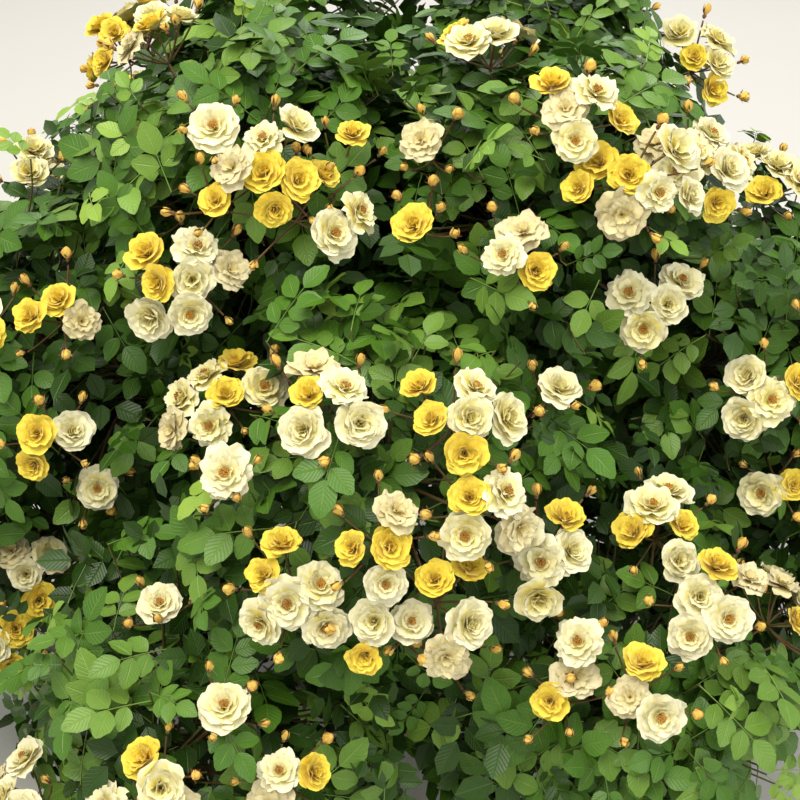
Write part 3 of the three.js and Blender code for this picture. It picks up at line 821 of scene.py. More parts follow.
def add_leaf_stalk(sheet, line, radii, sides=3):
    """A thin stalk along a line. Twig and leaflet cover its ends."""
    points = []
    for i, (point, radius) in enumerate(zip(line, radii)):
        ahead = unit(line[min(i + 1, len(line) - 1)] - line[max(i - 1, 0)])
        side = unit(np.cross(ahead, xyz(0, 1, 0)))
        third = np.cross(ahead, side)
        for k in range(sides):
            points.append(point + around(side, third, WHOLE_TURN * k / sides) * radius)
    sheet.add(points, ring_faces(len(line), sides), [(0.5, 0.02)] * len(points))


def leaf_kind(name, form, draw, toothed=True):
    """One compound leaf. Its droop, folds and small turns come from the stream."""
    sheet = Sheet()
    sag = between(draw, *LEAF_SAG)

    def along(x):
        return xyz(x, 0, -sag * x * x)

    def turned_at(x, *steps):
        return turns(("Y", math.atan(2 * sag * x)), *steps)

    if toothed:
        add_leaf_stalk(sheet, [along(x) for x in np.linspace(0, form.stalk, 4)], (1.0, 0.8, 0.7, 0.5))
    for x, length, width in form.pairs:
        for hand in (1, -1):
            turn = hand * angle_between(draw, *PAIRED.turn)
            roll = angle_between(draw, *PAIRED.roll)
            pitch = angle_between(draw, *PAIRED.pitch)
            grown = between(draw, *PAIRED.size)
            fold = angle_between(draw, *PAIRED.fold)
            droop = between(draw, *PAIRED.droop)
            turned = turned_at(x, ("Z", turn), ("X", roll), ("Y", pitch))
            root = along(x) + turned @ xyz(1.5, 0, 0)
            size = (length * grown, width * grown)
            add_leaflet(sheet, root, turned, size, fold, droop, toothed)
    turned = turned_at(form.stalk, ("Z", angle_between(draw, *ENDMOST.turn)))
    fold = angle_between(draw, *ENDMOST.fold)
    droop = between(draw, *ENDMOST.droop)
    add_leaflet(sheet, along(form.stalk), turned, form.end, fold, droop, toothed)
    return sheet.mesh(name)


def leaf_kinds():
    draw = stream(SEED + 21)
    kinds = []
    for form in FULL_LEAVES:
        kinds.append(leaf_kind(f"leaf_{len(kinds)}_{form}", LEAF_FORMS[form], draw))
    for form in INNER_LEAVES:
        kinds.append(leaf_kind(f"leaf_{len(kinds)}_inner", LEAF_FORMS[form], draw, False))
    return kinds


# Blooms: rings of petals round a small boss of stamens. Z is the bloom's axis.
# rings: petals, length, width, angle from the axis at the base and at the rim, share of the way in
BLOOM_FORMS = {
    "cream_open": [
        (6, 26.5, 31, 64, 94, 0.0),
        (6, 23, 27, 54, 80, 0.15),
        (6, 18, 20, 40, 62, 0.4),
        (5, 12.5, 13, 24, 44, 0.7),
    ],
    "cream_full": [
        (6, 26, 31, 54, 86, 0.0),
        (6, 23, 27, 42, 68, 0.15),
        (6, 19, 22, 30, 48, 0.35),
        (5, 15, 16, 18, 26, 0.6),
        (4, 10.5, 11, 9, 4, 0.85),
    ],
    "cream_loose": [
        (7, 26.5, 22, 62, 98, 0.0),
        (6, 22.5, 20, 50, 82, 0.15),
        (6, 18, 17, 38, 60, 0.4),
        (5, 12.5, 12, 22, 40, 0.7),
    ],
    "yellow": [
        (6, 22.5, 26, 52, 80, 0.1),
        (6, 20, 23, 40, 62, 0.3),
        (6, 16.5, 18, 28, 42, 0.5),
        (5, 13, 14, 16, 20, 0.75),
        (3, 9, 10, 8, 2, 1.0),
    ],
    "faded": [
        (6, 25, 26, 68, 106, 0.0),
        (6, 21, 21, 54, 92, 0.25),
        (5, 17, 15, 40, 76, 0.5),
        (4, 11, 10, 20, 50, 0.8),
    ],
}
# The forms that a colour comes in: form, how many kinds of it, and how ruffled its petals are
BLOOM_KINDS = {
    "cream": [("cream_open", 2, 2.2), ("cream_loose", 2, 3.0), ("cream_full", 2, 1.8)],
    "yellow": [("yellow", 4, 1.7)],
    "faded": [("faded", 3, 3.4)],
}
OPEN_CREAMS = 4  # the first kinds of cream bloom, which show their stamens
# A bud that is still closed in its sepals, one that shows its colour, and one that is about to open
BUD_STAGES = [
    Named(fat=0.72, splay=5, half_width=2.3, bulge=2.4),
    Named(fat=0.88, splay=22, half_width=1.9, bulge=0.9),
    Named(fat=1.2, splay=46, half_width=1.9, bulge=0.5),
]
BLOOM_CALYX = Named(splay=112, half_width=1.9, bulge=0.5)
BUD_PROFILE = [(1.6, -5), (4.1, -3), (5.2, 0.5), (4.9, 4), (3.6, 7), (1.9, 9.6), (0.5, 10.8)]
HIP_PROFILE = [(0.9, -11), (2.3, -9.5), (2.9, -7.4), (2.2, -5.4), (1.6, -4.6)]
STAMENS = Named(count=20, knob=1.15, height=(4.5, 6.5), lean=6, spread=46, jitter=(-6, 6))
SEPALS = Named(count=5, length=(11, 15), widest=0.42, hem=0.6, loose=12, base=xyz(1.6, 0, -5.4))
BUD_PETALS = Named(count=3, length=14, width=11, base=30, rim=-26, ruffle=0.3)
BUD_PETALS.foot = xyz(1.4, 0, -4.6)
PETAL = Named(claw=0.24, widest=0.7, roundness=1.1, shoulder=0.62, tip=0.52)
PETAL.bends = Named(cup=0.16, notch=0.1, notch_width=0.28, sweep=0.1)
PETAL.jitter = Named(size=(0.88, 1.1), tilt=(-7, 9), ruffle=(0.6, 1.4), turn=(-0.14, 0.14))
PETAL.jitter.roll = (-0.12, 0.12)
PETAL.sunk = Named(all=3, ring=1.1, every_other=0.3)  # below the bloom's middle


def petal_points(length, width, base, rim, cells, ruffle, phase):
    """A petal's grid of points: X runs out from the axis, and the petal bends from base to rim."""
    across, along = cells
    bends = PETAL.bends

    def lean(v):
        angle = math.radians(base + (rim - base) * v**1.3)
        return math.sin(angle), math.cos(angle)

    spine = [xyz(1.2, 0, 0)]
    for i in range(2 * along):
        sine, cosine = lean((i + 0.5) / (2 * along))
        spine.append(spine[-1] + length / (2 * along) * xyz(sine, 0, cosine))
    points, places = [], []
    for j in range(along + 1):
        v = j / along
        sine, cosine = lean(v)
        up, out = xyz(-cosine, 0, sine), xyz(sine, 0, cosine)
        swell = math.sin(min(1, v / PETAL.widest) * math.pi / 2) ** PETAL.roundness
        half = width / 2 * (PETAL.claw + (1 - PETAL.claw) * swell)
        half *= math.sqrt(max(0.0, 1 - (max(0, v - PETAL.shoulder) / PETAL.tip) ** 2))
        for i in range(across + 1):
            u = 2 * i / across - 1
            wave = math.sin(2.6 * u + phase) + 0.6 * math.sin(5.3 * u - 1.7 * phase)
            lift = bends.cup * half * u * u + ruffle * v**2.2 * wave
            notch = bends.notch * length * v**4 * math.exp(-((u / bends.notch_width) ** 2))
            tuck = notch + bends.sweep * length * v * v * u * u
            points.append(spine[2 * j] + xyz(0, u * half, 0) + up * lift - out * tuck)
            places.append((0.5 + 0.5 * u, v))
    row = across + 1
    corners = [a for j in range(along) for a in range(j * row, j * row + across)]
    return points, [(a, a + 1, a + row + 1, a + row) for a in corners], places


def bloom_kind(name, rings, ruffle, draw):
    """One bloom. Each petal has its own waves, size and tilt."""
    sheet = Sheet()
    jitter, sunk = PETAL.jitter, PETAL.sunk
    inner = []
    for number, (count, length, width, base, rim, depth) in enumerate(rings):
        first = draw() * WHOLE_TURN
        for k in range(count):
            grown = between(draw, *jitter.size)
            cells = (5, 4) if length > 22 else (4, 3)
            tilt = between(draw, *jitter.tilt)
            phase = draw() * 6.3
            wave = ruffle * between(draw, *jitter.ruffle) * length / 28
            points, faces, places = petal_points(
                length * grown, width * grown, base + tilt, rim + 1.6 * tilt, cells, wave, phase
            )
            angle = first + WHOLE_TURN * k / count + between(draw, *jitter.turn)
            turned = turns(("Z", angle), ("X", between(draw, *jitter.roll)))
            drop = sunk.ring * (len(rings) - number) + sunk.every_other * (k % 2) + sunk.all
            sheet.add(points, faces, places, turned, -drop * UP)
            inner.extend([depth] * len(points))
    return sheet.mesh(name, inner=inner)


def stamen_kind(name, draw):
    """A small boss of stamens: blades that end in a knob."""
    sheet = Sheet()
    sides = ((1, 0, 0), (0, 1, 0), (-1, 0, 0), (0, -1, 0), (0, 0, 1), (0, 0, -1))
    faces = [(0, 1, 4), (1, 2, 4), (2, 3, 4), (3, 0, 4), (1, 0, 5), (2, 1, 5), (3, 2, 5), (0, 3, 5)]
    for k in range(STAMENS.count):
        lean = STAMENS.lean + STAMENS.spread * math.sqrt(k / STAMENS.count)
        lean += between(draw, *STAMENS.jitter)
        turned = turns(("Z", k * GOLDEN_TURN), ("Y", math.radians(lean)))
        height = between(draw, *STAMENS.height)
        blade = [(-0.3, 0, -2), (0.3, 0, -2), (0, 0, height)]
        sheet.add(blade, [(0, 1, 2)], [(0.5, 0.1)] * 3, turned)
        knob = [STAMENS.knob * xyz(*side) + UP * height for side in sides]
        sheet.add(knob, faces, [(0.5, 0.9)] * 6, turned)
    return sheet.mesh(name)


def calyx_kind(name, form, draw):
    """A small hip with five keeled sepals, under a bloom or round a bud."""
    sheet = Sheet()
    sheet.add(*revolved(HIP_PROFILE, 6))
    wing = xyz(0, form.half_width, 0)
    faces = [(0, 1, 4), (0, 4, 2), (1, 3, 4), (4, 3, 2)]
    places = [(0.5, 0.2), (1, 0.5), (0, 0.5), (0.5, 1), (0.5, 0.5)]
    for k in range(SEPALS.count):
        turned = turns(("Z", WHOLE_TURN * k / SEPALS.count + between(draw, -0.1, 0.1)))
        angle = math.radians(form.splay + between(draw, -1, 1) * min(SEPALS.loose, form.splay / 2))
        out = xyz(math.sin(angle), 0, math.cos(angle))
        keel = xyz(math.cos(angle), 0, -math.sin(angle))
        length = between(draw, *SEPALS.length)
        ridge = SEPALS.base + out * SEPALS.widest * length + keel * form.bulge
        hem = ridge - keel * SEPALS.hem
        points = [SEPALS.base, hem + wing, hem - wing, SEPALS.base + out * length, ridge]
        sheet.add(points, faces, places, turned)
    return sheet.mesh(name)


def bud_kind(name, fat, draw):
    """A furled bud with a slight twist to its tip."""
    sheet = Sheet()
    sheet.add(*revolved([(radius * fat, height) for radius, height in BUD_PROFILE], 7, 0.16))
    form = BUD_PETALS
    size = (form.length, form.width * fat, form.base, form.rim)
    for k in range(form.count):
        turned = turns(("Z", WHOLE_TURN * k / form.count + draw()))
        points, faces, places = petal_points(*size, (3, 3), form.ruffle, draw() * 6)
        sheet.add([point + form.foot for point in points], faces, places, turned)
    return sheet.mesh(name, inner=[0.6] * len(sheet.points))


def prickle_kind():
    """A hooked prickle: Z points out from the cane, X down it."""
    sheet = Sheet()
    base = [(4.2, 0, -0.4), (0, 1.5, -0.4), (-3.4, 0, -0.4), (0, -1.5, -0.4)]
    middle = [(2.6, 0, 2.2), (1.1, 0.7, 2.2), (-0.4, 0, 2.2), (1.1, -0.7, 2.2)]
    points = base + middle + [(4.4, 0, 4.2)]
    faces = ring_faces(2, 4) + [(4, 5, 8), (5, 6, 8), (6, 7, 8), (7, 4, 8), (3, 2, 1, 0)]
    sheet.add(points, faces, [(0.5, 0.5)] * len(points))
    return sheet.mesh("prickle")


# The stool's furrows and, last, its knots: how deep, how many round it, and their lean to the mm
STOOL_WAVES = [(0.03, 23, 0.05), (0.02, 11, -0.13), (0.05, 3, 0.09)]
KNOT_RISE = 0.12
STOOL_INSET = 0.04  # keeps the furrows inside the solid


def stool_mesh(material):
    """The stool with furrows and knots, inside its solid's outline."""
    flare = ((1, 0), (0.91, 0.1), (0.82, 0.2), (0.75, 0.36), (0.7, 0.55), (0.68, 0.78))
    profile = [(STOOL.foot * out, STOOL.head_height * up) for out, up in flare]
    for i in range(9):
        rise = i * math.pi / 16
        radius = max(0.6, STOOL.head * math.cos(rise))
        profile.append((radius, STOOL.head_height + STOOL.head * math.sin(rise)))
    points, faces, places = revolved(profile, 72)
    for point in points:
        angle = math.atan2(point[1], point[0])
        low = max(0.0, 1 - point[2] / STOOL.head_height)
        rib = 1 + STOOL.rib_share * low * math.cos(STOOL.ribs * angle)
        waves = [deep * math.sin(count * angle + lean * point[2]) for deep, count, lean in STOOL_WAVES]
        waves[-1] *= math.sin(KNOT_RISE * point[2])
        point[:2] *= rib * (1 - STOOL_INSET + sum(waves))
    sheet = Sheet()
    sheet.add(points, faces, places)
    mesh = sheet.mesh("stool_bark")
    mesh.materials.append(material)
    return mesh


# Materials
MATH, NOISE, MIX, BUMP = "ShaderNodeMath", "ShaderNodeTexNoise", "ShaderNodeMix", "ShaderNodeBump"
SHARE, FIRST, SECOND = 0, 6, 7  # inputs of a mix of colours
LEAF_VEINS = Named(pairs=8, slant=0.62, midrib=22, side=7, faint=0.6, paleness=0.38)
PETAL_FAN = 95  # radians across a petal: about 15 veins, as coarse as they need to be to show
PETAL_FOLDS = 17  # radians across a petal: two or three soft folds


def rgba(colour):
    return (*linear(colour), 1.0) if isinstance(colour, str) else (*colour[:3], 1.0)


def new_material(name):
    """Returns a new material, what adds a node to it, and the place in the piece that is shaded."""
    material = bpy.data.materials.new(name)
    material.use_nodes = True
    add = partial(add_node, material.node_tree)
    return material, add, add("ShaderNodeTexCoord").outputs["Object"]


def finish_material(material, **inputs):
    tree = material.node_tree
    named = {label.replace("_", " "): source for label, source in inputs.items()}
    fill_inputs(tree, tree.nodes["Principled BSDF"], named)
    return material


def blotches(place, width, detail=3.0, roughness=0.55):
    """Inputs of a noise whose blotches are about this many millimetres across."""
    return {"Vector": place, "Scale": 1 / (width * MM), "Detail": detail, "Roughness": roughness}


def leaf_material(name, face, shade, vein):
    """Rose leaf: a thin waxy cuticle over green tissue, so it has a soft, broken gloss, a paler midrib
    and side veins, and each leaf is a little lighter or darker than the next."""
    material, add, place = new_material(name)
    mottle = add(NOISE, blotches(place, 9, 2.0))
    shine = add(NOISE, blotches(place, 14, 2.0))
    tint = add("ShaderNodeAttribute", attribute_name="tint").outputs["Fac"]
    spot = add("ShaderNodeSeparateXYZ", [add("ShaderNodeUVMap")]).outputs
    aside = add(MATH, [spot["X"], 0.5], operation="SUBTRACT")
    across = add(MATH, [aside], operation="ABSOLUTE")
    fall = [across, -LEAF_VEINS.midrib, 1]
    midrib = add(MATH, fall, operation="MULTIPLY_ADD", use_clamp=True)
    slant = add(MATH, [across, -LEAF_VEINS.slant, spot["Y"]], operation="MULTIPLY_ADD")
    beat = add(MATH, [slant, 0.5 / LEAF_VEINS.pairs], operation="PINGPONG")
    fall = [beat, LEAF_VEINS.side * LEAF_VEINS.pairs, 1 - LEAF_VEINS.side / 2]
    sides = add(MATH, fall, operation="MULTIPLY_ADD", use_clamp=True)
    faint = add(MATH, [sides, LEAF_VEINS.faint], operation="MULTIPLY")
    veins = add(MATH, [midrib, faint], operation="MAXIMUM")
    depth = add(MIX, {0: 0.4, 2: tint, 3: mottle}, data_type="FLOAT")
    body = add(MIX, {SHARE: depth, FIRST: rgba(shade), SECOND: rgba(face)}, data_type="RGBA")
    paler = add(MATH, [veins, LEAF_VEINS.paleness], operation="MULTIPLY")
    colour = add(MIX, {SHARE: paler, FIRST: body, SECOND: rgba(vein)}, data_type="RGBA")
    gloss = add(MATH, [shine, 0.26, 0.24], operation="MULTIPLY_ADD")
    dents = add(MATH, [mottle, -0.25, veins], operation="MULTIPLY_ADD")
    relief = add(BUMP, {"Strength": 0.7, "Distance": 0.8 * MM, "Height": dents}, invert=True)
    return finish_material(material, Base_Color=colour, Roughness=gloss, IOR=1.42, Normal=relief)


def petal_material(name, rim, middle, base, heart, aged=0.0):
    """Rose petal: soft, velvety tissue with a faint sheen. Its claw is yellower than its rim, the inner
    petals are deeper in colour than the outer ones, and fine veins and soft folds run along it."""
    material, add, place = new_material(name)
    cloud = add(MATH, [add(NOISE, blotches(place, 16, 2.0)), 0.5], operation="SUBTRACT")
    tint = add("ShaderNodeAttribute", attribute_name="tint").outputs["Fac"]
    inner = add("ShaderNodeAttribute", attribute_name="inner").outputs["Fac"]
    spot = add("ShaderNodeSeparateXYZ", [add("ShaderNodeUVMap")]).outputs
    across, along = spot["X"], spot["Y"]
    paler = add(MATH, [tint, 0.5], operation="SUBTRACT")
    reach = add(MATH, [cloud, 0.35, along], operation="MULTIPLY_ADD")
    reach = add(MATH, [paler, -0.34, reach], operation="MULTIPLY_ADD")
    ramp = add("ShaderNodeValToRGB", [reach])
    stops = ramp.color_ramp.elements
    stops[0].position = 0.1
    stops[0].color = rgba(base)
    stops[1].position = 0.86
    stops[1].color = rgba(rim)
    stops.new(0.4).color = rgba(middle)
    deeper = add(MATH, [inner, 0.62], operation="MULTIPLY")
    colour = add(MIX, {SHARE: deeper, FIRST: ramp, SECOND: rgba(heart)}, data_type="RGBA")
    turn = add(MATH, [across, PETAL_FAN], operation="MULTIPLY")
    fan = add(MATH, [turn], operation="SINE")
    faint = add(MATH, [fan, 0.035, 0.035], operation="MULTIPLY_ADD")
    colour = add(MIX, {SHARE: faint, FIRST: colour, SECOND: rgba(base)}, data_type="RGBA")
    if aged:
        flecks = add(NOISE, blotches(place, 5, 4.0, 0.7))
        flecks = add(MATH, [flecks, 5, -2.5], operation="MULTIPLY_ADD", use_clamp=True)
        edge = add(MATH, [along, 5], operation="POWER")
        brown = add(MATH, [flecks, edge], operation="MAXIMUM")
        brown = add(MATH, [brown, aged], operation="MULTIPLY")
        colour = add(MIX, {SHARE: brown, FIRST: colour, SECOND: rgba("#b0884f")}, data_type="RGBA")
    sway = add(MATH, [cloud, tint], operation="ADD")
    sway = add(MATH, [sway, 9], operation="MULTIPLY")
    turn = add(MATH, [across, PETAL_FOLDS, sway], operation="MULTIPLY_ADD")
    folds = add(MATH, [turn], operation="SINE")
    softer = add(MATH, [along, 0.5], operation="MULTIPLY")
    fine = add(MATH, [cloud, 0.6], operation="MULTIPLY")
    fine = add(MATH, [fan, 0.08, fine], operation="MULTIPLY_ADD")
    height = add(MATH, [folds, softer, fine], operation="MULTIPLY_ADD")
    relief = add(BUMP, {"Strength": 0.6, "Distance": 1.1 * MM, "Height": height})
    velvet = {"Roughness": 0.62, "IOR": 1.4, "Sheen_Weight": 0.25, "Sheen_Roughness": 0.5}
    return finish_material(material, Base_Color=colour, Normal=relief, **velvet)


def bark_material(name, light, dark, streak, bump_mm):
    """Rose bark: dull cork that splits along the limb, in streaks and blotches."""
    material, add, place = new_material(name)
    upright = add("ShaderNodeMapping", {"Vector": place, "Scale": (1.0, 1.0, 0.22)})
    streaks = add(NOISE, blotches(upright, streak, 5.0, 0.6))
    patchy = add(MATH, [add(NOISE, blotches(place, 40)), 0.5], operation="MULTIPLY")
    sharp = add(MATH, [streaks, 2.6, -0.832], operation="MULTIPLY_ADD", use_clamp=True)
    colour = add(MIX, {SHARE: sharp, FIRST: rgba(dark), SECOND: rgba(light)}, data_type="RGBA")
    colour = add(MIX, {SHARE: patchy, FIRST: colour, SECOND: rgba(dark)}, data_type="RGBA")
    relief = add(BUMP, {"Strength": 0.7, "Distance": bump_mm * MM, "Height": streaks})
    return finish_material(material, Base_Color=colour, Roughness=0.8, IOR=1.5, Normal=relief)


def skin_material(name, first, second, roughness):
    """Young rind of twigs, stalks and sepals: smooth and faintly waxy, flushed in blotches."""
    material, add, place = new_material(name)
    flush = [add(NOISE, blotches(place, 22)), 2.2, -0.66]
    flush = add(MATH, flush, operation="MULTIPLY_ADD", use_clamp=True)
    colour = add(MIX, {SHARE: flush, FIRST: rgba(first), SECOND: rgba(second)}, data_type="RGBA")
    grain = add(NOISE, blotches(place, 1.5))
    relief = add(BUMP, {"Strength": 0.3, "Distance": 0.2 * MM, "Height": grain})
    return finish_material(material, Base_Color=colour, Roughness=roughness, IOR=1.45, Normal=relief)


def paper_material(name, light, dark):
    """Matt studio paper, in two very near tones."""
    material, add, place = new_material(name)
    clouds = add(NOISE, blotches(place, 900))
    tone = add(MIX, {SHARE: clouds, FIRST: rgba(dark), SECOND: rgba(light)}, data_type="RGBA")
    return finish_material(material, Base_Color=tone, Roughness=0.9, IOR=1.45)


# Sizes and colours that a user would change
def size_property(name, description, default=1.0):
    words = {"name": name, "description": description}
    return bpy.props.FloatProperty(**words, default=default, min=0.2, max=2.0)


def colour_property(name, description, colour):
    words = {"name": name, "description": description}
    return bpy.props.FloatVectorProperty(
        **words, default=linear(colour), subtype="COLOR", size=3, min=0, max=1
    )


class RoseSizes(bpy.types.PropertyGroup):
    leaf: size_property("Leaves", "Size of the leaves against the real one's")
    bloom: size_property("Blooms", "Size of the blooms against the real one's")
    bud: size_property("Buds", "Size of the buds against the real one's", 0.86)
    floor_width: bpy.props.FloatProperty(
        name="Floor", description="Width of the floor", default=60.0, min=1.0, unit="LENGTH"
    )


class RoseColours(bpy.types.PropertyGroup):
    # Painted shade: the inner leaves get a darker green for the shade inside the crown
    inner_leaf: colour_property("Inner leaf", "Upper side of the shaded leaves", "#335610")
    old_leaf: colour_property("Old leaf", "Upper side of the darkest leaves", "#3d6413")
    leaf: colour_property("Leaf", "Upper side of most leaves", "#517e22")
    # Partly painted light: a lighter green for leaves in the light, dealt at random along with the
    # leaves' own paler tones
    light_leaf: colour_property("Light leaf", "Upper side of the leaves in the light", "#759738")
    young_leaf: colour_property("Young leaf", "Upper side of the newest leaves", "#9bb842")
    cream: colour_property("Cream", "Rim of a cream petal", "#f6f2cf")
    yellow: colour_property("Yellow", "Rim of a yellow petal", "#f7e152")
    faded: colour_property("Faded", "Rim of a petal that is over", "#eee7bc")


class RoseSettings(bpy.types.PropertyGroup):
    sizes: bpy.props.PointerProperty(type=RoseSizes, name="Sizes", description="Sizes of the parts")
    colours: bpy.props.PointerProperty(type=RoseColours, name="Colours", description="Colours")


BUSH = grow_bush()
MASS_NODES = nodes_named("foliage_")
# name, place, width, power and colour of each soft light
LIGHTS = [
    ("light_key", (-0.9, -1.3, 4.3), 3.0, 170, "#fffaf0"),
    ("light_fill", (2.6, -1.4, 2.2), 2.4, 34, "#f6f8ff"),
    ("light_back", (0.4, 3.0, 2.8), 2.8, 60, "#fbfbff"),
]
RIND = Named(steps=34, waist=0.93, knot=0.14, knots=(5, 8), foot=1.25, sunk=2, sides=9)
PRICKLES = Named(each=10, first=3, stations=28, depth=0.8, size=(0.7, 1.2))
GREENS = (("old", 0.18), ("full", 0.6), ("light", 0.92), ("young", 2))  # each up to this share
# A leaf's share is mostly its spray's. It is lighter on the front mass, and lightest at many tips
DEAL = Named(own=0.18, front=0.35, young_tips=0.35, young=0.97)
# The material of each green: its name, then the property with its face, its shade and its veins
LEAF_LOOKS = {
    # The inner leaves' darker greens are painted shade, for the shade inside the crown
    "inner": ("shaded_rose_leaf_cuticle", "inner_leaf", "#213d08", "#4a6a26"),
    "old": ("old_rose_leaf_cuticle", "old_leaf", "#2c4e0b", "#668730"),
    "full": ("rose_leaf_cuticle", "leaf", "#3b6213", "#87a746"),
    # The sunlit green is partly painted light and partly the leaves' own paler tone
    "light": ("sunlit_rose_leaf_cuticle", "light_leaf", "#4d7920", "#9cb85a"),
    "young": ("young_rose_leaf_cuticle", "young_leaf", "#6a9936", "#b3cd75"),
}
# The middle, claw and heart of each colour's petals, and how far they are worn
PETAL_LOOKS = {
    "cream": ("#f2e88e", "#ecd04a", "#f0e27c", 0.0),
    "yellow": ("#f5dd40", "#eec42e", "#f2d43a", 0.0),
    "faded": ("#eadfa2", "#d8be68", "#e0d088", 0.35),
}
BLOOM_LETTERS = {"c": "cream", "y": "yellow", "f": "faded", "w": "faded"}
WITHERED = 0.62  # size of a withered bloom


class ROSE_OT_stage(bpy.types.Operator):
    """Add the plain floor, the soft light and the camera"""

    bl_idname = "rose.stage"
    bl_label = "Stage"

    def execute(self, context):
        radius = context.scene.rose.sizes.floor_width / 2
        angles = np.linspace(0, WHOLE_TURN, 96, endpoint=False)
        rim = [(radius * math.cos(angle), radius * math.sin(angle), 0) for angle in angles]
        mesh = bpy.data.meshes.new("floor")
        mesh.from_pydata(rim, [], [tuple(range(len(rim)))])
        mesh.materials.append(paper_material("studio_floor_paper", "#d3d0c9", "#cdcac2"))
        floor = new_object("floor", mesh)
        floor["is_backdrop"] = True
        for name, place, size, power, colour in LIGHTS:
            light = bpy.data.lights.new(name, "AREA")
            light.size = size
            light.energy = power
            light.color = linear(colour)
            lamp = new_object(name, light)
            lamp.location = place
            aim = Vector((0, 0, 0.5)) - Vector(place)
            lamp.rotation_euler = aim.to_track_quat("-Z", "Y").to_euler()
        world = bpy.data.worlds.new("studio")
        world.use_nodes = True
        sky = world.node_tree.nodes["Background"]
        sky.inputs["Color"].default_value = rgba("#f3f3ef")
        sky.inputs["Strength"].default_value = 0.75
        context.scene.world = world
        context.scene.view_settings.view_transform = "Standard"
        camera = bpy.data.cameras.new("camera")
        camera.lens = camera.sensor_width / 2 * EYE.focus / EYE.middle
        eye = new_object("camera", camera)
        eye.location = tuple(EYE.place * MM)
        eye.rotation_euler = (math.radians(90 - EYE.down), 0, 0)
        context.scene.camera = eye
        return {"FINISHED"}


class ROSE_OT_canes(bpy.types.Operator):
    """Dress the stool and the canes in bark with relief, and add prickles"""

    bl_idname = "rose.canes"
    bl_label = "Stool and canes"

    def execute(self, context):
        bark = bark_material("furrowed_old_rose_bark", "#8a7259", "#4a3829", 7, 1.6)
        rind = bark_material("green_brown_cane_rind", "#8b7a48", "#54432c", 4, 0.5)
        horn = skin_material("red_brown_prickle_horn", "#8a4a35", "#5d3226", 0.45)
        draw = stream(SEED + 5)
        add_piece("stool_bark", stool_mesh(bark), ["stool"])
        limbs, prickles = [], []
        for cane in BUSH.canes:
            points = bezier(cane.corners, RIND.steps)
            t = np.linspace(0, 1, len(points))
            radii = CANE.start + (CANE.end - CANE.start) * t
            knots = 0.5 * np.cos(t * WHOLE_TURN * between(draw, *RIND.knots) + draw() * 6) ** 8
            radii = radii * (RIND.waist + RIND.knot * knots)
            radii[0] *= RIND.foot
            points[0] = points[0] - cane.start * RIND.sunk
            limbs.append((points, radii))
            for _ in range(PRICKLES.each):
                i = PRICKLES.first + int(draw() * PRICKLES.stations)
                ahead = unit(points[i + 1] - points[i])
                side = unit(np.cross(ahead, UP) + 0.01)
                out = around(side, np.cross(ahead, side), draw() * WHOLE_TURN)
                root = points[i] + out * radii[i] * PRICKLES.depth
                size = between(draw, *PRICKLES.size)
                prickles.append((0, root, frame_along(-ahead, out), size, 0.5))
        add_limbs("cane_rind", limbs, RIND.sides, rind, nodes_named("cane_"))
        add_copies("cane_prickles", prickles, [prickle_kind()], horn)
        return {"FINISHED"}


class ROSE_OT_twigs(bpy.types.Operator):
    """Grow the shoots, side shoots and flower stalks on from the canes' tips"""

    bl_idname = "rose.twigs"
    bl_label = "Shoots and twigs"

    def execute(self, context):
        rind = skin_material("olive_shoot_rind", "#5c6a2c", "#5f4230", 0.55)
        red = skin_material("red_brown_stalk_rind", "#6d3d31", "#74703a", 0.5)
        add_limbs("shoots", BUSH.shoots + BUSH.twigs, 3, rind, MASS_NODES)
        add_limbs("flower_stalks", BUSH.stalks, 3, red, MASS_NODES)
        return {"FINISHED"}


class ROSE_OT_leaves(bpy.types.Operator):
    """Grow the compound leaves, dealt out by spray to the greens"""

    bl_idname = "rose.leaves"
    bl_label = "Leaves"

    def execute(self, context):
        rose = context.scene.rose
        kinds = leaf_kinds()
        draw = stream(SEED + 31)
        dealt = {}
        for number, leaf in enumerate(BUSH.leaves):
            share = leaf.tint * (1 - DEAL.own) + DEAL.own * draw()
            if leaf.mass.ring == "front":
                share = DEAL.front + (1 - DEAL.front) * share
            if leaf.newest and draw() < DEAL.young_tips:
                share = DEAL.young
            # Inner leaves take the darker inner green, which is painted shade
            if leaf.inner:
                green = "inner"
                pick = len(FULL_LEAVES) + number % len(INNER_LEAVES)
            else:
                green = next(name for name, end in GREENS if share < end)
                pick = number % len(FULL_LEAVES)
            place = (pick, leaf.root, leaf.turned, leaf.size * rose.sizes.leaf, draw())
            half = "front" if leaf.root[1] < 0 else "back"
            dealt.setdefault((green, half), []).append(place)
        looks = {}
        for green, (name, face, shade, vein) in LEAF_LOOKS.items():
            looks[green] = leaf_material(name, getattr(rose.colours, face), shade, vein)
        for (green, half), places in sorted(dealt.items()):
            add_copies(f"leaves_{green}_{half}", places, kinds, looks[green], MASS_NODES)
        return {"FINISHED"}


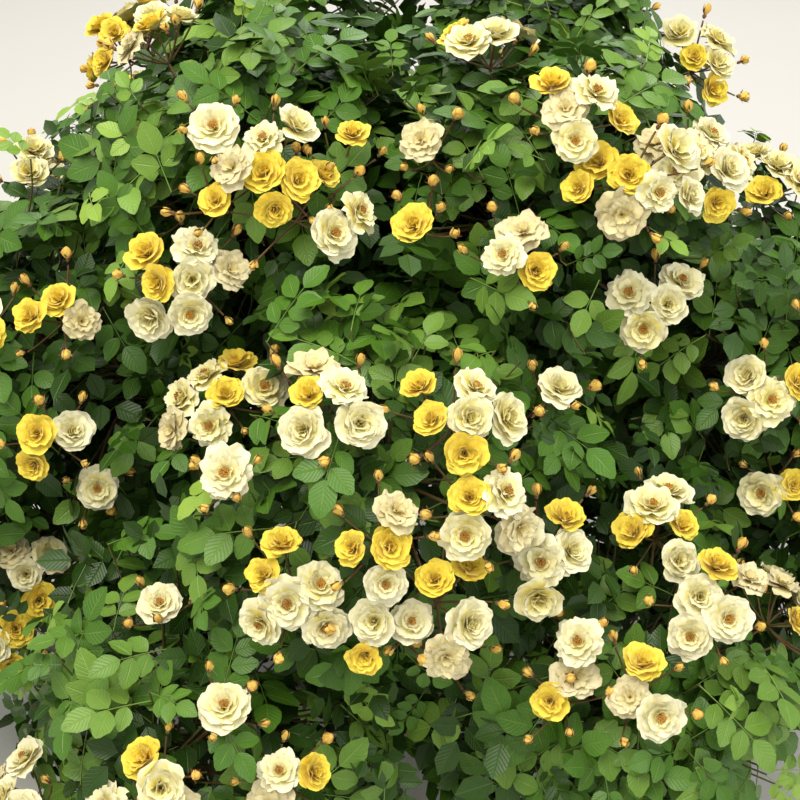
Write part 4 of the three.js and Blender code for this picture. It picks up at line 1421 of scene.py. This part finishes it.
class ROSE_OT_blooms(bpy.types.Operator):
    """Open the blooms: cream, yellow and faded, with their stamens and sepals"""

    bl_idname = "rose.blooms"
    bl_label = "Blooms"

    def execute(self, context):
        rose = context.scene.rose
        draw = stream(SEED + 41)
        kinds = {colour: [] for colour in BLOOM_KINDS}
        for colour, forms in BLOOM_KINDS.items():
            for form, count, ruffle in forms:
                for k in range(count):
                    kinds[colour].append(bloom_kind(f"{form}_{k}", BLOOM_FORMS[form], ruffle, draw))
        dealt = {colour: [] for colour in BLOOM_KINDS}
        hearts = []
        calyxes = []
        for letter, middle, turned, size, tint in BUSH.blooms:
            colour = BLOOM_LETTERS[letter]
            pick = int(draw() * len(kinds[colour]))
            size *= rose.sizes.bloom
            calyxes.append((0, middle, turned, size, tint))
            size *= WITHERED if letter == "w" else 1
            dealt[colour].append((pick, middle, turned, size, tint))
            if colour == "cream" and pick < OPEN_CREAMS:
                hearts.append((0, middle, turned, size, tint))
        for colour, (middle, claw, heart, worn) in PETAL_LOOKS.items():
            rim = getattr(rose.colours, colour)
            petals = petal_material(f"{colour}_rose_petal", rim, middle, claw, heart, worn)
            name = f"blooms_{colour}"
            add_copies(name, dealt[colour], kinds[colour], petals, MASS_NODES)
        pollen = skin_material("orange_brown_anthers", "#cf9230", "#8d521c", 0.7)
        add_copies("stamens", hearts, [stamen_kind("stamens_kind", draw)], pollen)
        skin = skin_material("green_sepal_skin", "#6f7b3c", "#86503f", 0.6)
        calyx = calyx_kind("calyx", BLOOM_CALYX, draw)
        add_copies("bloom_sepals", calyxes, [calyx], skin)
        return {"FINISHED"}


class ROSE_OT_buds(bpy.types.Operator):
    """Set the buds round each truss"""

    bl_idname = "rose.buds"
    bl_label = "Buds"

    def execute(self, context):
        grown = context.scene.rose.sizes.bud
        draw = stream(SEED + 51)
        buds = [bud_kind(f"bud_{k}", form.fat, draw) for k, form in enumerate(BUD_STAGES)]
        calyxes = [calyx_kind(f"bud_calyx_{k}", form, draw) for k, form in enumerate(BUD_STAGES)]
        places = []
        for _, middle, turned, size, tint in BUSH.buds:
            places.append((int(tint * len(BUD_STAGES)), middle, turned, size * grown, draw()))
        petals = petal_material("orange_yellow_bud_petal", "#f5d160", "#f1c44f", "#e2a945", "#efbf52")
        add_copies("bud_petals", places, buds, petals, MASS_NODES)
        skin = skin_material("red_brown_sepal_skin", "#7a4638", "#75703a", 0.55)
        add_copies("bud_sepals", places, calyxes, skin)
        return {"FINISHED"}


STEPS = [ROSE_OT_stage, ROSE_OT_canes, ROSE_OT_twigs, ROSE_OT_leaves, ROSE_OT_blooms, ROSE_OT_buds]


class ROSE_PT_sidebar(bpy.types.Panel):
    """The rose's steps, sizes and colours"""

    bl_idname = "ROSE_PT_sidebar"
    bl_label = "Shrub Rose"
    bl_space_type = "VIEW_3D"
    bl_region_type = "UI"
    bl_category = "Rose"

    def draw(self, context):
        for step in STEPS:
            self.layout.operator(step.bl_idname)
        for group in (context.scene.rose.sizes, context.scene.rose.colours):
            box = self.layout.box()
            for name in group.bl_rna.properties.keys():
                if name not in ("rna_type", "name"):
                    box.prop(group, name)


CLASSES = [RoseSizes, RoseColours, RoseSettings, *STEPS, ROSE_PT_sidebar]


def register():
    for kind in CLASSES:
        bpy.utils.register_class(kind)
    bpy.types.Scene.rose = bpy.props.PointerProperty(type=RoseSettings)


def unregister():
    del bpy.types.Scene.rose
    for kind in reversed(CLASSES):
        bpy.utils.unregister_class(kind)


def main():
    register()
    for step in STEPS:
        group, name = step.bl_idname.split(".")
        result = getattr(getattr(bpy.ops, group), name)()
        if "FINISHED" not in result:
            raise RuntimeError(f"{step.bl_label} did not finish")
    plain = [[list(corner) for corner in box] for box in (SOLIDS_BOX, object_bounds())]


if __name__ == "__main__":
    main()
